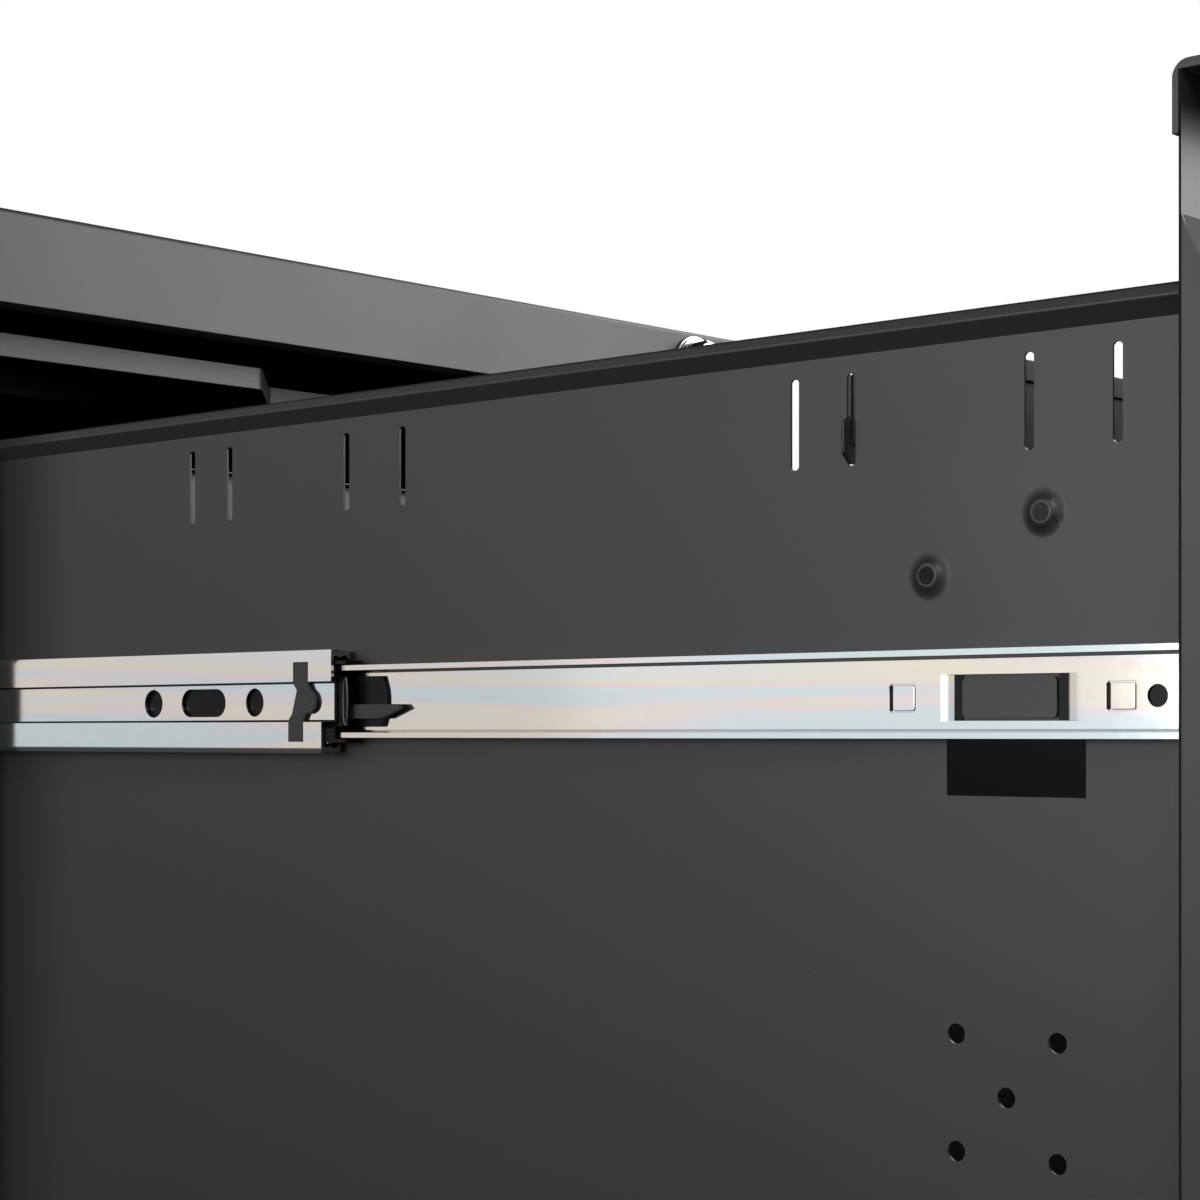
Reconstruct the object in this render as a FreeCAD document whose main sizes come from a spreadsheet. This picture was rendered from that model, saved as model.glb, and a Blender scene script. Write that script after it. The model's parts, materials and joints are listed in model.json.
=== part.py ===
import FreeCAD
import Part
import Sketcher
import math
import os
import re

# Two-drawer steel filing cabinet on ball-bearing slides, upper drawer pulled out to its stop.
# Row frame: millimetres, +Z up from the floor, the drawers open towards -Y,
# origin on the floor under the middle of the cabinet's outline with the drawer out.

sizes = {
    # case
    "case_width": 508.0,
    "case_depth": 610.0,
    "case_sheet": 0.8,
    "stile_width": 13.5,
    "stile_return": 25.0,
    "rail_height": 38.0,
    "rail_return": 15.0,
    "rail_bend": 2.5,
    "rear_flange": 14.0,
    "back_flange": 12.0,
    "base_height": 45.0,
    "base_return": 45.0,
    "stiffener_place": 342.0,
    "stiffener_width": 30.0,
    "stiffener_height": 20.0,
    "stiffener_flange": 12.0,
    "stiffener_gap": 3.0,
    # levelling feet
    "foot_height": 8.0,
    "foot_radius": 16.0,
    "foot_inset": 40.0,
    "foot_setback": 25.0,
    "foot_stem_radius": 4.0,
    "foot_stem_length": 26.0,
    "foot_nut_width": 13.0,
    "foot_nut_height": 6.5,
    # uprights that carry the slides
    "post_depth": 16.2,
    "post_width": 40.0,
    "post_sheet": 1.2,
    "post_setback": 40.0,
    "post_spacing": 480.0,
    "post_slot_width": 4.0,
    "post_slot_height": 14.0,
    "post_slot_pitch": 64.0,
    "post_slot_count": 11.0,
    "post_head_gap": 3.0,
    # brace across the opening, set back behind the lock on its right
    "tie_height": 9.8,
    "tie_sheet": 2.0,
    "tie_setback": 30.0,
    "tie_joggle": 45.0,
    "tie_joggle_run": 42.0,
    "tie_joggle_place": 185.0,
    "tie_drop": 6.8,
    "tie_foot": 22.0,
    "tie_bend": 6.0,
    # drawer fronts
    "front_height": 365.0,
    "front_thick": 20.0,
    "front_sheet": 0.8,
    "front_gap": 3.0,
    "front_side_gap": 2.5,
    "front_edge_bend": 0.6,
    "front_back_flange": 12.0,
    "scoop_low": 297.0,
    "scoop_high": 326.0,
    "scoop_radius": 70.0,
    "pull_hem": 18.8,
    "pull_proud": 1.9,
    "pull_top": 2.6,
    "pull_grip": 13.0,
    "pull_grip_thick": 2.4,
    "pull_back_radius": 4.6,
    "pull_front_radius": 2.8,
    # drawer boxes
    "drawer_sheet": 0.8,
    "box_tail": 7.2,
    "side_base": 5.0,
    "side_height": 306.6,
    "bead_height": 8.4,
    "bead_out": 2.8,
    "bead_slope": 5.0,
    "bead_lean": 1.0,
    "bead_round": 1.2,
    "box_flange": 12.0,
    "back_top_flange": 8.0,
    # holes in the drawer sides
    "slot_width": 3.0,
    "slot_corner": 0.8,
    "slot_height": 26.5,
    "slot_drop": 13.5,
    "slot_a": 25.7,
    "slot_b": 53.0,
    "slot_c": 112.6,
    "slot_d": 133.0,
    "slot_e": 299.6,
    "slot_f": 327.6,
    "slot_g": 390.2,
    "slot_h": 411.4,
    "dimple_front_place": 48.3,
    "dimple_front_level": 254.5,
    "dimple_rear_place": 85.4,
    "dimple_rear_level": 238.9,
    "dimple_radius": 5.6,
    "dimple_hole_radius": 2.6,
    "dimple_height": 1.8,
    "cluster_place": 60.3,
    "cluster_level": 95.7,
    "cluster_pitch": 32.5,
    "cluster_radius": 2.85,
    "window_place": 35.3,
    "window_length": 44.4,
    "window_level": 177.7,
    "window_height": 20.0,
    # cross bar for hanging files
    "bar_height": 34.0,
    "bar_sheet": 1.2,
    "bar_lip": 6.7,
    "bar_lip_thick": 3.4,
    "bar_end_gap": 0.3,
    "tab_thick": 1.2,
    "tab_gap": 0.2,
    "tab_proud": 3.2,
    "tab_neck": 12.0,
    "tab_slant": 3.0,
    "tab_play": 0.5,
    # slides: one set, the same for all four places
    "travel": 557.2,
    "slide_space": 13.0,
    "slide_level": 205.8,
    "slide_length": 558.8,
    "slide_sheet": 1.2,
    "slide_setback": 2.0,
    "middle_length": 490.0,
    "middle_setback": 45.7,
    "middle_face": 10.0,
    "middle_band_half": 6.2,
    "middle_band_depth": 1.5,
    "middle_step": 2.8,
    "middle_round": 2.0,
    "middle_cutback": 5.0,
    "middle_hole_radius": 5.0,
    "middle_hole_first": 42.0,
    "middle_hole_spacing": 57.2,
    "middle_oblong_length": 25.0,
    "middle_channel_half": 5.3,
    "middle_channel_depth": 0.35,
    "inner_reach": 6.9,
    "inner_web_half": 9.7,
    "outer_tip": 5.2,
    "ball_radius": 2.0,
    "ball_flat": 0.863,
    "race_clearance": 0.25,
    "inner_ball_out": 3.9,
    "inner_ball_up": 13.52,
    "outer_ball_out": 7.9,
    "outer_ball_up": 18.9,
    "race_half_width": 1.9,
    "ball_pitch": 57.0,
    "ball_first": 14.0,
    "ball_pocket_half": 2.3,
    "cage_length": 200.0,
    "cage_sheet": 0.8,
    "cage_nose": 2.5,
    "cage_nose_half": 8.6,
    "cage_notch": 5.5,
    "inner_cage_setback": 179.5,
    "outer_cage_setback": 154.3,
    # cut-outs in the drawer member of a slide
    "feature_drop": 1.0,
    "member_hole_place": 13.2,
    "member_hole_radius": 3.0,
    "member_window_place": 40.6,
    "member_window_length": 36.4,
    "member_window_height": 12.8,
    "member_roll_length": 4.5,
    "member_roll_depth": 0.9,
    "member_tab_first": 23.4,
    "member_tab_second": 93.4,
    "member_tab_size": 8.0,
    "member_tab_depth": 0.45,
    "member_tab_slit": 1.0,
    "locator_gap": 3.1,
    "locator_proud": 1.0,
    "locator_round": 1.5,
    # stop and release lever of a slide
    "stop_setback": 12.0,
    "stop_arm": 7.4,
    "stop_shift": 2.5,
    "stop_half": 13.5,
    "stop_waist": 5.6,
    "stop_waist_half": 4.0,
    "stop_bulge_radius": 4.2,
    "stop_bulge_shift": 1.3,
    "stop_play": 0.2,
    "stop_proud": 0.2,
    "lever_mount_place": 305.5,
    "lever_mount_length": 39.5,
    "lever_mount_half": 8.6,
    "lever_mount_bow": 19.4,
    "lever_mount_thick": 1.3,
    "lever_pivot_place": 331.0,
    "lever_pivot_drop": 1.5,
    "lever_pin_radius": 2.0,
    "lever_pin_height": 2.6,
    "lever_pin_clearance": 0.06,
    "lever_hub_radius": 4.2,
    "lever_thick": 1.9,
    "lever_play": 0.3,
    "lever_tip_place": 296.0,
    "lever_tip_length": 9.5,
    "lever_tip_nose": 1.5,
    "lever_finger_top": 1.0,
    "lever_finger_height": 4.8,
    # push lock at the right end of the top rail
    "lock_inset": 45.5,
    "lock_radius": 13.6,
    "lock_proud": 12.0,
    "lock_push": 9.0,
    "lock_head_length": 24.0,
    "lock_edge_bevel": 1.6,
    "lock_clearance": 0.1,
    "lock_wall": 1.8,
    "lock_barrel_length": 24.0,
    "lock_collar": 3.0,
    "lock_nut_wall": 2.0,
    "lock_nut_place": 6.0,
    "lock_nut_height": 5.0,
    "lock_tail_radius": 4.5,
    "lock_tail_end": 42.0,
    "lock_pin_place": 36.0,
    "lock_pin_radius": 2.0,
    "lock_pin_reach": 13.5,
    "plug_radius": 6.0,
    "plug_length": 16.0,
    "plug_clearance": 0.05,
    "keyway_width": 1.6,
    "keyway_height": 8.0,
    "keyway_depth": 6.0,
    # lock bar on the right, its guides and the keepers on the drawers
    "lock_bar_width": 8.0,
    "lock_bar_sheet": 2.0,
    "lock_bar_setback": 27.0,
    "lock_bar_wall_gap": 2.0,
    "lock_bar_foot": 90.0,
    "lock_arm_height": 9.0,
    "lock_cam_gap": 2.5,
    "lock_cam_rise": 15.0,
    "lock_slot_play": 0.5,
    "catch_reach": 12.0,
    "catch_height": 10.0,
    "keeper_level": 262.0,
    "keeper_depth": 16.0,
    "keeper_width": 10.0,
    "keeper_sheet": 1.5,
    "keeper_gap": 2.0,
    "keeper_play": 1.2,
    "guide_wall": 1.4,
    "guide_play": 0.4,
    "guide_height": 12.0,
    "guide_first": 150.0,
    "guide_spacing": 250.0,
    "guide_count": 3.0,
}

# Places and derived sizes, as formulas of the sizes above.
places = {
    "case_half": "case_width / 2",
    "case_front": "(travel - case_depth) / 2",
    "level_pitch": "front_height + front_gap",
    "rail_bottom": "base_height + 2 * level_pitch + front_gap",
    "case_height": "rail_bottom + rail_height",
    "case_inner_half": "case_half - case_sheet",
    "stile_edge": "case_half - stile_width",
    "front_half": "stile_edge - front_side_gap",
    "box_depth": "slide_setback + slide_length + box_tail",
    "drawer_half": "case_inner_half - post_depth - slide_space",
    "box_inner_half": "drawer_half - drawer_sheet",
    "side_top": "side_base + side_height",
    "slot_low": "side_top - slot_drop - slot_height",
    "closed_plane": "case_front + front_thick",
    "member_half": "inner_ball_up - race_rise",
    "middle_half": "outer_ball_up - race_rise",
    "outer_half": "outer_ball_up + race_radius + slide_sheet",
    "middle_inner": "middle_face - slide_sheet",
    "middle_band": "middle_face - middle_band_depth",
    "middle_land": "middle_face - outer_ball_out - race_half_width",
    "cage_arm_low": "inner_ball_up - cage_sheet",
    "race_radius": "ball_radius + race_clearance",
    "race_rise": "sqrt(race_radius ^ 2 - race_half_width ^ 2)",
    "outer_race_tip": "outer_ball_up + race_rise",
    "middle_under": "inner_ball_up + race_rise",
    "outer_cage_face": "(middle_face + slide_space - slide_sheet - cage_sheet) / 2",
    "lock_x": "case_half - lock_inset",
    "lock_z": "case_height - rail_height / 2",
    "lock_bore": "lock_radius + lock_clearance",
    "lock_outside": "lock_bore + lock_wall",
    "lock_bar_outer": "case_inner_half - lock_bar_wall_gap",
    "lock_bar_inner": "lock_bar_outer - lock_bar_width",
    "lock_cam_x": "lock_x + lock_tail_radius + lock_cam_gap",
    "post_top": "rail_bottom - tie_drop - tie_height - post_head_gap",
    "lock_slot_half": "lock_pin_radius + lock_slot_play",
    "catch_low": "keeper_level + keeper_sheet + keeper_gap",
}

drawers = {"upper": {"level": 1, "open": 1}, "lower": {"level": 0, "open": 0}}
file_slots = ("slot_a", "slot_b", "slot_c", "slot_d", "slot_e", "slot_f", "slot_g", "slot_h")
bar_slot = "slot_c"
sides = {"left": -1, "right": 1}

doc = FreeCAD.newDocument("filing_cabinet")
sheet = doc.addObject("Spreadsheet::Sheet", "Sizes")
for row, (alias, number) in enumerate(sizes.items(), start=1):
    sheet.set(f"A{row}", alias)
    sheet.set(f"B{row}", str(number))
    sheet.setAlias(f"B{row}", alias)
doc.recompute()

nodes = []


def formula(text):
    # Puts the sheet's cells and the derived places into a formula in words.
    def swap(match):
        word = match.group()
        if word in places:
            return "(" + formula(places[word]) + ")"
        return "Sizes." + word if word in sizes else word

    return re.sub(r"[a-z_]+", swap, str(text))


def value(text):
    return float(sheet.evalExpression(formula(text)))


def bind(item, name, text):
    item.setExpression(name, formula(text))


def add_body(label, several=False):
    body = doc.addObject("PartDesign::Body", label)
    body.Label = label
    body.AllowCompound = several
    nodes.append(body)
    return body


def add_group(label, pieces):
    # One node of several like solids.
    group = doc.addObject("Part::Compound", label)
    group.Links = pieces
    group.Label = label
    nodes.append(group)


def place(item, x="0", y="0", z="0"):
    for axis, text in zip("xyz", (x, y, z)):
        bind(item, f"Placement.Base.{axis}", text)


def place_slide_part(item, side, drawer, run):
    # A left slide stands as modelled; the right one is the same slide turned over.
    # run is the share of the drawer's way that the piece has moved.
    way = drawer["open"] * run
    place(item, f"{sides[side]} * drawer_half", f"closed_plane - {way} * travel",
          f"base_height + front_gap + {drawer['level']} * level_pitch + slide_level")
    if side == "right":
        item.Placement.Rotation = FreeCAD.Rotation(FreeCAD.Vector(0, 1, 0), 180)


def place_drawer_part(item, drawer):
    place(item, "0", f"closed_plane - {drawer['open']} * travel",
          f"base_height + front_gap + {drawer['level']} * level_pitch")


def add_sketch(body, plane, offset="0"):
    sketch = body.newObject("Sketcher::SketchObject", "Sketch")
    support = next(f for f in body.Origin.OriginFeatures if f.Role == plane + "_Plane")
    sketch.AttachmentSupport = [(support, "")]
    sketch.MapMode = "FlatFace"
    # the XZ plane faces -Y, so its offset counts backwards
    bind(sketch, "AttachmentOffset.Base.z", f"-({offset})" if plane == "XZ" else offset)
    return sketch


def fix_point(sketch, curve, end, x, y):
    for kind, text in (("DistanceX", x), ("DistanceY", y)):
        number = sketch.addConstraint(Sketcher.Constraint(kind, -1, 1, curve, end, value(text)))
        bind(sketch, f"Constraints[{number}]", text)


def arc_between(start, finish, radius):
    # The short arc from start to finish: it bulges to the left where radius is positive.
    across = finish - start
    half = across.Length / 2
    height = math.sqrt(radius * radius - half * half)
    left = FreeCAD.Vector(-across.y, across.x, 0).normalize() * math.copysign(1, radius)
    centre = (start + finish) / 2 - left * height
    angles = [math.atan2(p.y - centre.y, p.x - centre.x) for p in (start, finish)]
    if radius > 0:
        angles.reverse()
    circle = Part.Circle(centre, FreeCAD.Vector(0, 0, 1), abs(radius))
    return Part.ArcOfCircle(circle, angles[0], angles[1])


def outline(sketch, points):
    # A closed run of lines; a third value is the radius of an arc to the next point.
    corners = [FreeCAD.Vector(value(p[0]), value(p[1]), 0) for p in points]
    first = sketch.GeometryCount
    count = len(points)
    ends = []
    for i, point in enumerate(points):
        following = corners[(i + 1) % count]
        if len(point) == 3:
            radius = value(point[2])
            sketch.addGeometry(arc_between(corners[i], following, radius))
            ends.append((2, 1) if radius > 0 else (1, 2))
        else:
            sketch.addGeometry(Part.LineSegment(corners[i], following))
            ends.append((1, 2))
    for i in range(count):
        after = (i + 1) % count
        sketch.addConstraint(Sketcher.Constraint(
            "Coincident", first + i, ends[i][1], first + after, ends[after][0]))
    for i, point in enumerate(points):
        fix_point(sketch, first + i, ends[i][0], point[0], point[1])
        if len(point) == 3:
            size = abs(value(point[2]))
            number = sketch.addConstraint(Sketcher.Constraint("Radius", first + i, size))
            bind(sketch, f"Constraints[{number}]", f"abs({point[2]})")


def rectangle(sketch, x_low, y_low, x_high, y_high):
    outline(sketch, [(x_low, y_low), (x_high, y_low), (x_high, y_high), (x_low, y_high)])


def circle(sketch, x, y, radius):
    middle = FreeCAD.Vector(value(x), value(y), 0)
    curve = sketch.addGeometry(Part.Circle(middle, FreeCAD.Vector(0, 0, 1), value(radius)))
    fix_point(sketch, curve, 3, x, y)
    number = sketch.addConstraint(Sketcher.Constraint("Radius", curve, value(radius)))
    bind(sketch, f"Constraints[{number}]", radius)


def oblong(sketch, x, y, length, radius):
    # A slot with round ends, its length along the sketch's x.
    reach = f"({length} / 2 - ({radius}))"
    end = f"-1.0001 * ({radius})"
    outline(sketch, [
        (f"{x} - {reach}", f"{y} - ({radius})"), (f"{x} + {reach}", f"{y} - ({radius})", end),
        (f"{x} + {reach}", f"{y} + ({radius})"), (f"{x} - {reach}", f"{y} + ({radius})", end),
    ])


def blunted(sketch, x_low, y_low, x_high, y_high, corner):
    # A rectangle with its corners cut off.
    outline(sketch, [
        (f"{x_low} + {corner}", y_low), (f"{x_high} - {corner}", y_low),
        (x_high, f"{y_low} + {corner}"), (x_high, f"{y_high} - {corner}"),
        (f"{x_high} - {corner}", y_high), (f"{x_low} + {corner}", y_high),
        (x_low, f"{y_high} - {corner}"), (x_low, f"{y_low} + {corner}"),
    ])


def pad(body, sketch, length, centred=False):
    feature = body.newObject("PartDesign::Pad", "Pad")
    feature.Profile = sketch
    bind(feature, "Length", length)
    if centred:
        feature.SideType = "Symmetric"
    else:
        # the XZ plane faces -Y, and every piece is built backwards from its front end
        feature.Reversed = sketch.AttachmentSupport[0][0].Role == "XZ_Plane"
    sketch.Visibility = False
    return feature


def pocket(body, sketch, depth=None, reversed_way=False):
    feature = body.newObject("PartDesign::Pocket", "Pocket")
    feature.Profile = sketch
    if depth is None:
        feature.Type = "ThroughAll"
        feature.SideType = "Symmetric"
    else:
        bind(feature, "Length", depth)
        feature.Reversed = reversed_way
    sketch.Visibility = False
    return feature


def edges_near(shape, direction, corners):
    # Names of the straight edges along one axis that pass through the given corners.
    axis = FreeCAD.Vector(*(1 if name == direction else 0 for name in "xyz"))
    names = []
    for number, edge in enumerate(shape.Edges, start=1):
        if edge.Curve.TypeId != "Part::GeomLine" or abs(edge.Curve.Direction.dot(axis)) < 0.999:
            continue
        flat = [getattr(edge.CenterOfMass, name) for name in "xyz" if name != direction]
        if any(math.dist(flat, corner) < 0.01 for corner in corners):
            names.append(f"Edge{number}")
    return names


def fillet(body, direction, corners, radius):
    # Rounds the edges along one axis at the given corners of the newest feature.
    doc.recompute()
    tip = body.Tip
    shape = tip.Shape.copy()
    spots = [(value(a), value(b)) for a, b in corners]
    feature = body.newObject("PartDesign::Fillet", "Fillet")
    feature.Base = (tip, edges_near(shape, direction, spots))
    bind(feature, "Radius", radius)
    return feature


def repeat(body, features, axis, spacing, count):
    # Copies of features along an axis of the body, spacing apart.
    pattern = body.newObject("PartDesign::LinearPattern", "Pattern")
    pattern.Originals = features
    direction = next(f for f in body.Origin.OriginFeatures if f.Role == axis + "_Axis")
    pattern.Direction = (direction, [""])
    pattern.Mode = "Spacing"
    bind(pattern, "Offset", spacing)
    bind(pattern, "Occurrences", count)
    body.Tip = pattern
    return pattern


def mirrored(half):
    # A section that is the same above and below its middle line, from its upper half.
    lower = []
    for i, point in reversed(list(enumerate(half))):
        bend = half[i - 1][2:] if i > 0 else ()
        lower.append((point[0], f"-({point[1]})") + tuple(bend))
    return list(half) + lower


def linked(item):
    # One more place for a piece that is built once.
    link = doc.addObject("App::Link", f"{item.Name}Copy")
    link.LinkedObject = item
    return link


# case

def case_side(side):
    hand = sides[side]
    body = add_body(f"case_side_{side}")
    wall = "case_sheet"
    section = [
        ("case_half", "0"), ("case_half", "case_depth"),
        ("case_half - rear_flange", "case_depth"), ("case_half - rear_flange", f"case_depth - {wall}"),
        (f"case_half - {wall}", f"case_depth - {wall}"), (f"case_half - {wall}", wall),
        (f"stile_edge + {wall}", wall), (f"stile_edge + {wall}", "stile_return"),
        ("stile_edge", "stile_return"), ("stile_edge", "0"),
    ]
    sketch = add_sketch(body, "XY", "foot_height")
    outline(sketch, [(f"{hand} * ({x})", y) for x, y in section])
    pad(body, sketch, f"case_height - {wall} - foot_height")
    # the stile stops under the top rail, which lies over the side's front edge
    for inner, depth in (("case_half", wall), ("case_inner_half", "stile_return + case_sheet")):
        sketch = add_sketch(body, "XZ")
        rectangle(sketch, f"{hand} * (stile_edge - case_sheet)", "rail_bottom",
                  f"{hand} * {inner}", "case_height")
        pocket(body, sketch, depth, reversed_way=False)
    place(body, "0", "case_front", "0")


def case_top():
    body = add_body("case_top")
    sketch = add_sketch(body, "YZ")
    outline(sketch, [
        ("0", "rail_bottom"), ("case_sheet", "rail_bottom"), ("case_sheet", "case_height - case_sheet"),
        ("case_depth", "case_height - case_sheet"), ("case_depth", "case_height"), ("0", "case_height"),
    ])
    pad(body, sketch, "case_width", centred=True)
    fillet(body, "x", [("0", "case_height")], "rail_bend")
    sketch = add_sketch(body, "YZ")
    rectangle(sketch, "case_sheet / 2", "rail_bottom", "rail_return", "rail_bottom + case_sheet")
    pad(body, sketch, "2 * case_inner_half - case_sheet", centred=True)
    # a hat-section stiffener across the underside
    under = "case_height - case_sheet"
    end = "(stiffener_place + stiffener_width)"
    sketch = add_sketch(body, "YZ")
    outline(sketch, [
        ("stiffener_place - stiffener_flange", under),
        ("stiffener_place - stiffener_flange", f"{under} - case_sheet"),
        ("stiffener_place", f"{under} - case_sheet"), ("stiffener_place", f"{under} - stiffener_height"),
        (end, f"{under} - stiffener_height"), (end, f"{under} - case_sheet"),
        (f"{end} + stiffener_flange", f"{under} - case_sheet"), (f"{end} + stiffener_flange", under),
        (f"{end} - case_sheet", under), (f"{end} - case_sheet", f"{under} - stiffener_height + case_sheet"),
        ("stiffener_place + case_sheet", f"{under} - stiffener_height + case_sheet"),
        ("stiffener_place + case_sheet", under),
    ])
    pad(body, sketch, "2 * (case_inner_half - stiffener_gap)", centred=True)
    sketch = add_sketch(body, "XZ")
    circle(sketch, "lock_x", "lock_z", "lock_outside + lock_clearance")
    pocket(body, sketch, "2 * case_sheet", reversed_way=False)
    place(body, "0", "case_front", "0")


def case_back():
    body = add_body("case_back")
    sheet_front = "case_depth - 2 * case_sheet"
    sketch = add_sketch(body, "YZ")
    outline(sketch, [
        (sheet_front, "base_height"), (f"{sheet_front} + case_sheet", "base_height"),
        (f"{sheet_front} + case_sheet", "case_height - case_sheet"),
        (f"{sheet_front} - back_flange", "case_height - case_sheet"),
        (f"{sheet_front} - back_flange", "case_height - 2 * case_sheet"),
        (sheet_front, "case_height - 2 * case_sheet"),
    ])
    pad(body, sketch, "2 * case_inner_half - case_sheet / 2", centred=True)
    place(body, "0", "case_front", "0")


def case_base():
    body = add_body("case_base")
    rear = "(case_depth - 2 * case_sheet)"
    sketch = add_sketch(body, "YZ")
    outline(sketch, [
        ("0", "foot_height"), ("base_return", "foot_height"),
        ("base_return", "foot_height + case_sheet"), ("case_sheet", "foot_height + case_sheet"),
        ("case_sheet", "base_height - case_sheet"), (f"{rear} - case_sheet", "base_height - case_sheet"),
        (f"{rear} - case_sheet", "foot_height + case_sheet"),
        (f"{rear} - base_return", "foot_height + case_sheet"),
        (f"{rear} - base_return", "foot_height"), (rear, "foot_height"),
        (rear, "base_height"), ("0", "base_height"),
    ])
    pad(body, sketch, "2 * (stile_edge - case_sheet)", centred=True)
    sketch = add_sketch(body, "YZ")
    rectangle(sketch, "stile_return + case_sheet", "base_height - case_sheet",
              rear, "base_height")
    pad(body, sketch, "2 * case_inner_half - case_sheet / 2", centred=True)
    sketch = add_sketch(body, "XY")
    for hand in sides.values():
        for depth in ("foot_setback", "case_depth - foot_setback"):
            circle(sketch, f"{hand} * (case_half - foot_inset)", depth, "foot_stem_radius + 0.2")
    pocket(body, sketch, "foot_height + 2 * case_sheet", reversed_way=True)
    place(body, "0", "case_front", "0")


def levelling_feet():
    pieces = []
    for hand in sides.values():
        for depth in ("foot_setback", "case_depth - foot_setback"):
            spot = (f"{hand} * (case_half - foot_inset)", f"case_front + {depth}")
            pad_disc = doc.addObject("Part::Cylinder", "FootPad")
            bind(pad_disc, "Radius", "foot_radius")
            bind(pad_disc, "Height", "foot_height")
            place(pad_disc, *spot, "0")
            stem = doc.addObject("Part::Cylinder", "FootStem")
            bind(stem, "Radius", "foot_stem_radius")
            bind(stem, "Height", "foot_stem_length")
            place(stem, *spot, "foot_height / 2")
            nut = doc.addObject("Part::Prism", "FootNut")
            nut.Polygon = 6
            bind(nut, "Circumradius", "foot_nut_width / sqrt(3)")
            bind(nut, "Height", "foot_nut_height")
            place(nut, *spot, "foot_height + case_sheet")
            foot = doc.addObject("Part::MultiFuse", "Foot")
            foot.Shapes = [pad_disc, stem, nut]
            pieces.append(foot)
    add_group("levelling_feet", pieces)


def slide_posts(side):
    hand = sides[side]
    body = add_body(f"slide_posts_{side}", several=True)
    face = "(drawer_half + slide_space)"
    sections = add_sketch(body, "XY", "base_height")
    slots = add_sketch(body, "YZ")
    for start in ("post_setback", "(post_setback + post_spacing)"):
        end = f"({start} + post_width)"
        section = [
            (face, start), ("case_inner_half", start), ("case_inner_half", f"{start} + post_sheet"),
            (f"{face} + post_sheet", f"{start} + post_sheet"), (f"{face} + post_sheet", f"{end} - post_sheet"),
            ("case_inner_half", f"{end} - post_sheet"), ("case_inner_half", end), (face, end),
        ]
        outline(sections, [(f"{hand} * ({x})", y) for x, y in section])
        low = "base_height + post_slot_pitch / 2"
        rectangle(slots, f"{start} + (post_width - post_slot_width) / 2", low,
                  f"{start} + (post_width + post_slot_width) / 2", f"{low} + post_slot_height")
    pad(body, sections, "post_top - base_height")
    cut = pocket(body, slots)
    repeat(body, [cut], "Z", "post_slot_pitch", "post_slot_count")
    place(body, "0", "case_front", "0")


def front_tie():
    # A strip from the left side wall that steps back behind the lock and ends on the right wall.
    body = add_body("front_tie")
    bend_left = "(tie_joggle_place - drawer_half - tie_joggle_run / 2)"
    bend_right = "(tie_joggle_place - drawer_half + tie_joggle_run / 2)"
    rear = "(tie_setback + tie_joggle)"
    sketch = add_sketch(body, "XY", "rail_bottom - tie_drop - tie_height")
    outline(sketch, [
        ("-case_inner_half", "tie_setback"), (bend_left, "tie_setback"), (bend_right, rear),
        ("case_inner_half", rear), ("case_inner_half", f"{rear} + tie_foot"),
        ("case_inner_half - tie_sheet", f"{rear} + tie_foot"),
        ("case_inner_half - tie_sheet", f"{rear} + tie_sheet"),
        (f"{bend_right} - tie_sheet", f"{rear} + tie_sheet"),
        (f"{bend_left} - tie_sheet", "tie_setback + tie_sheet"),
        ("tie_sheet - case_inner_half", "tie_setback + tie_sheet"),
        ("tie_sheet - case_inner_half", "tie_setback + tie_foot"),
        ("-case_inner_half", "tie_setback + tie_foot"),
    ])
    pad(body, sketch, "tie_height")
    fillet(body, "z", [(bend_left, "tie_setback"),
                       (f"{bend_right} - tie_sheet", f"{rear} + tie_sheet")], "tie_bend")
    fillet(body, "z", [(bend_right, rear),
                       (f"{bend_left} - tie_sheet", "tie_setback + tie_sheet")], "tie_bend - tie_sheet")
    place(body, "0", "case_front", "0")


# Drawers, each in its own frame: x across, y from the front's back plane, z from its lower edge.

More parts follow.
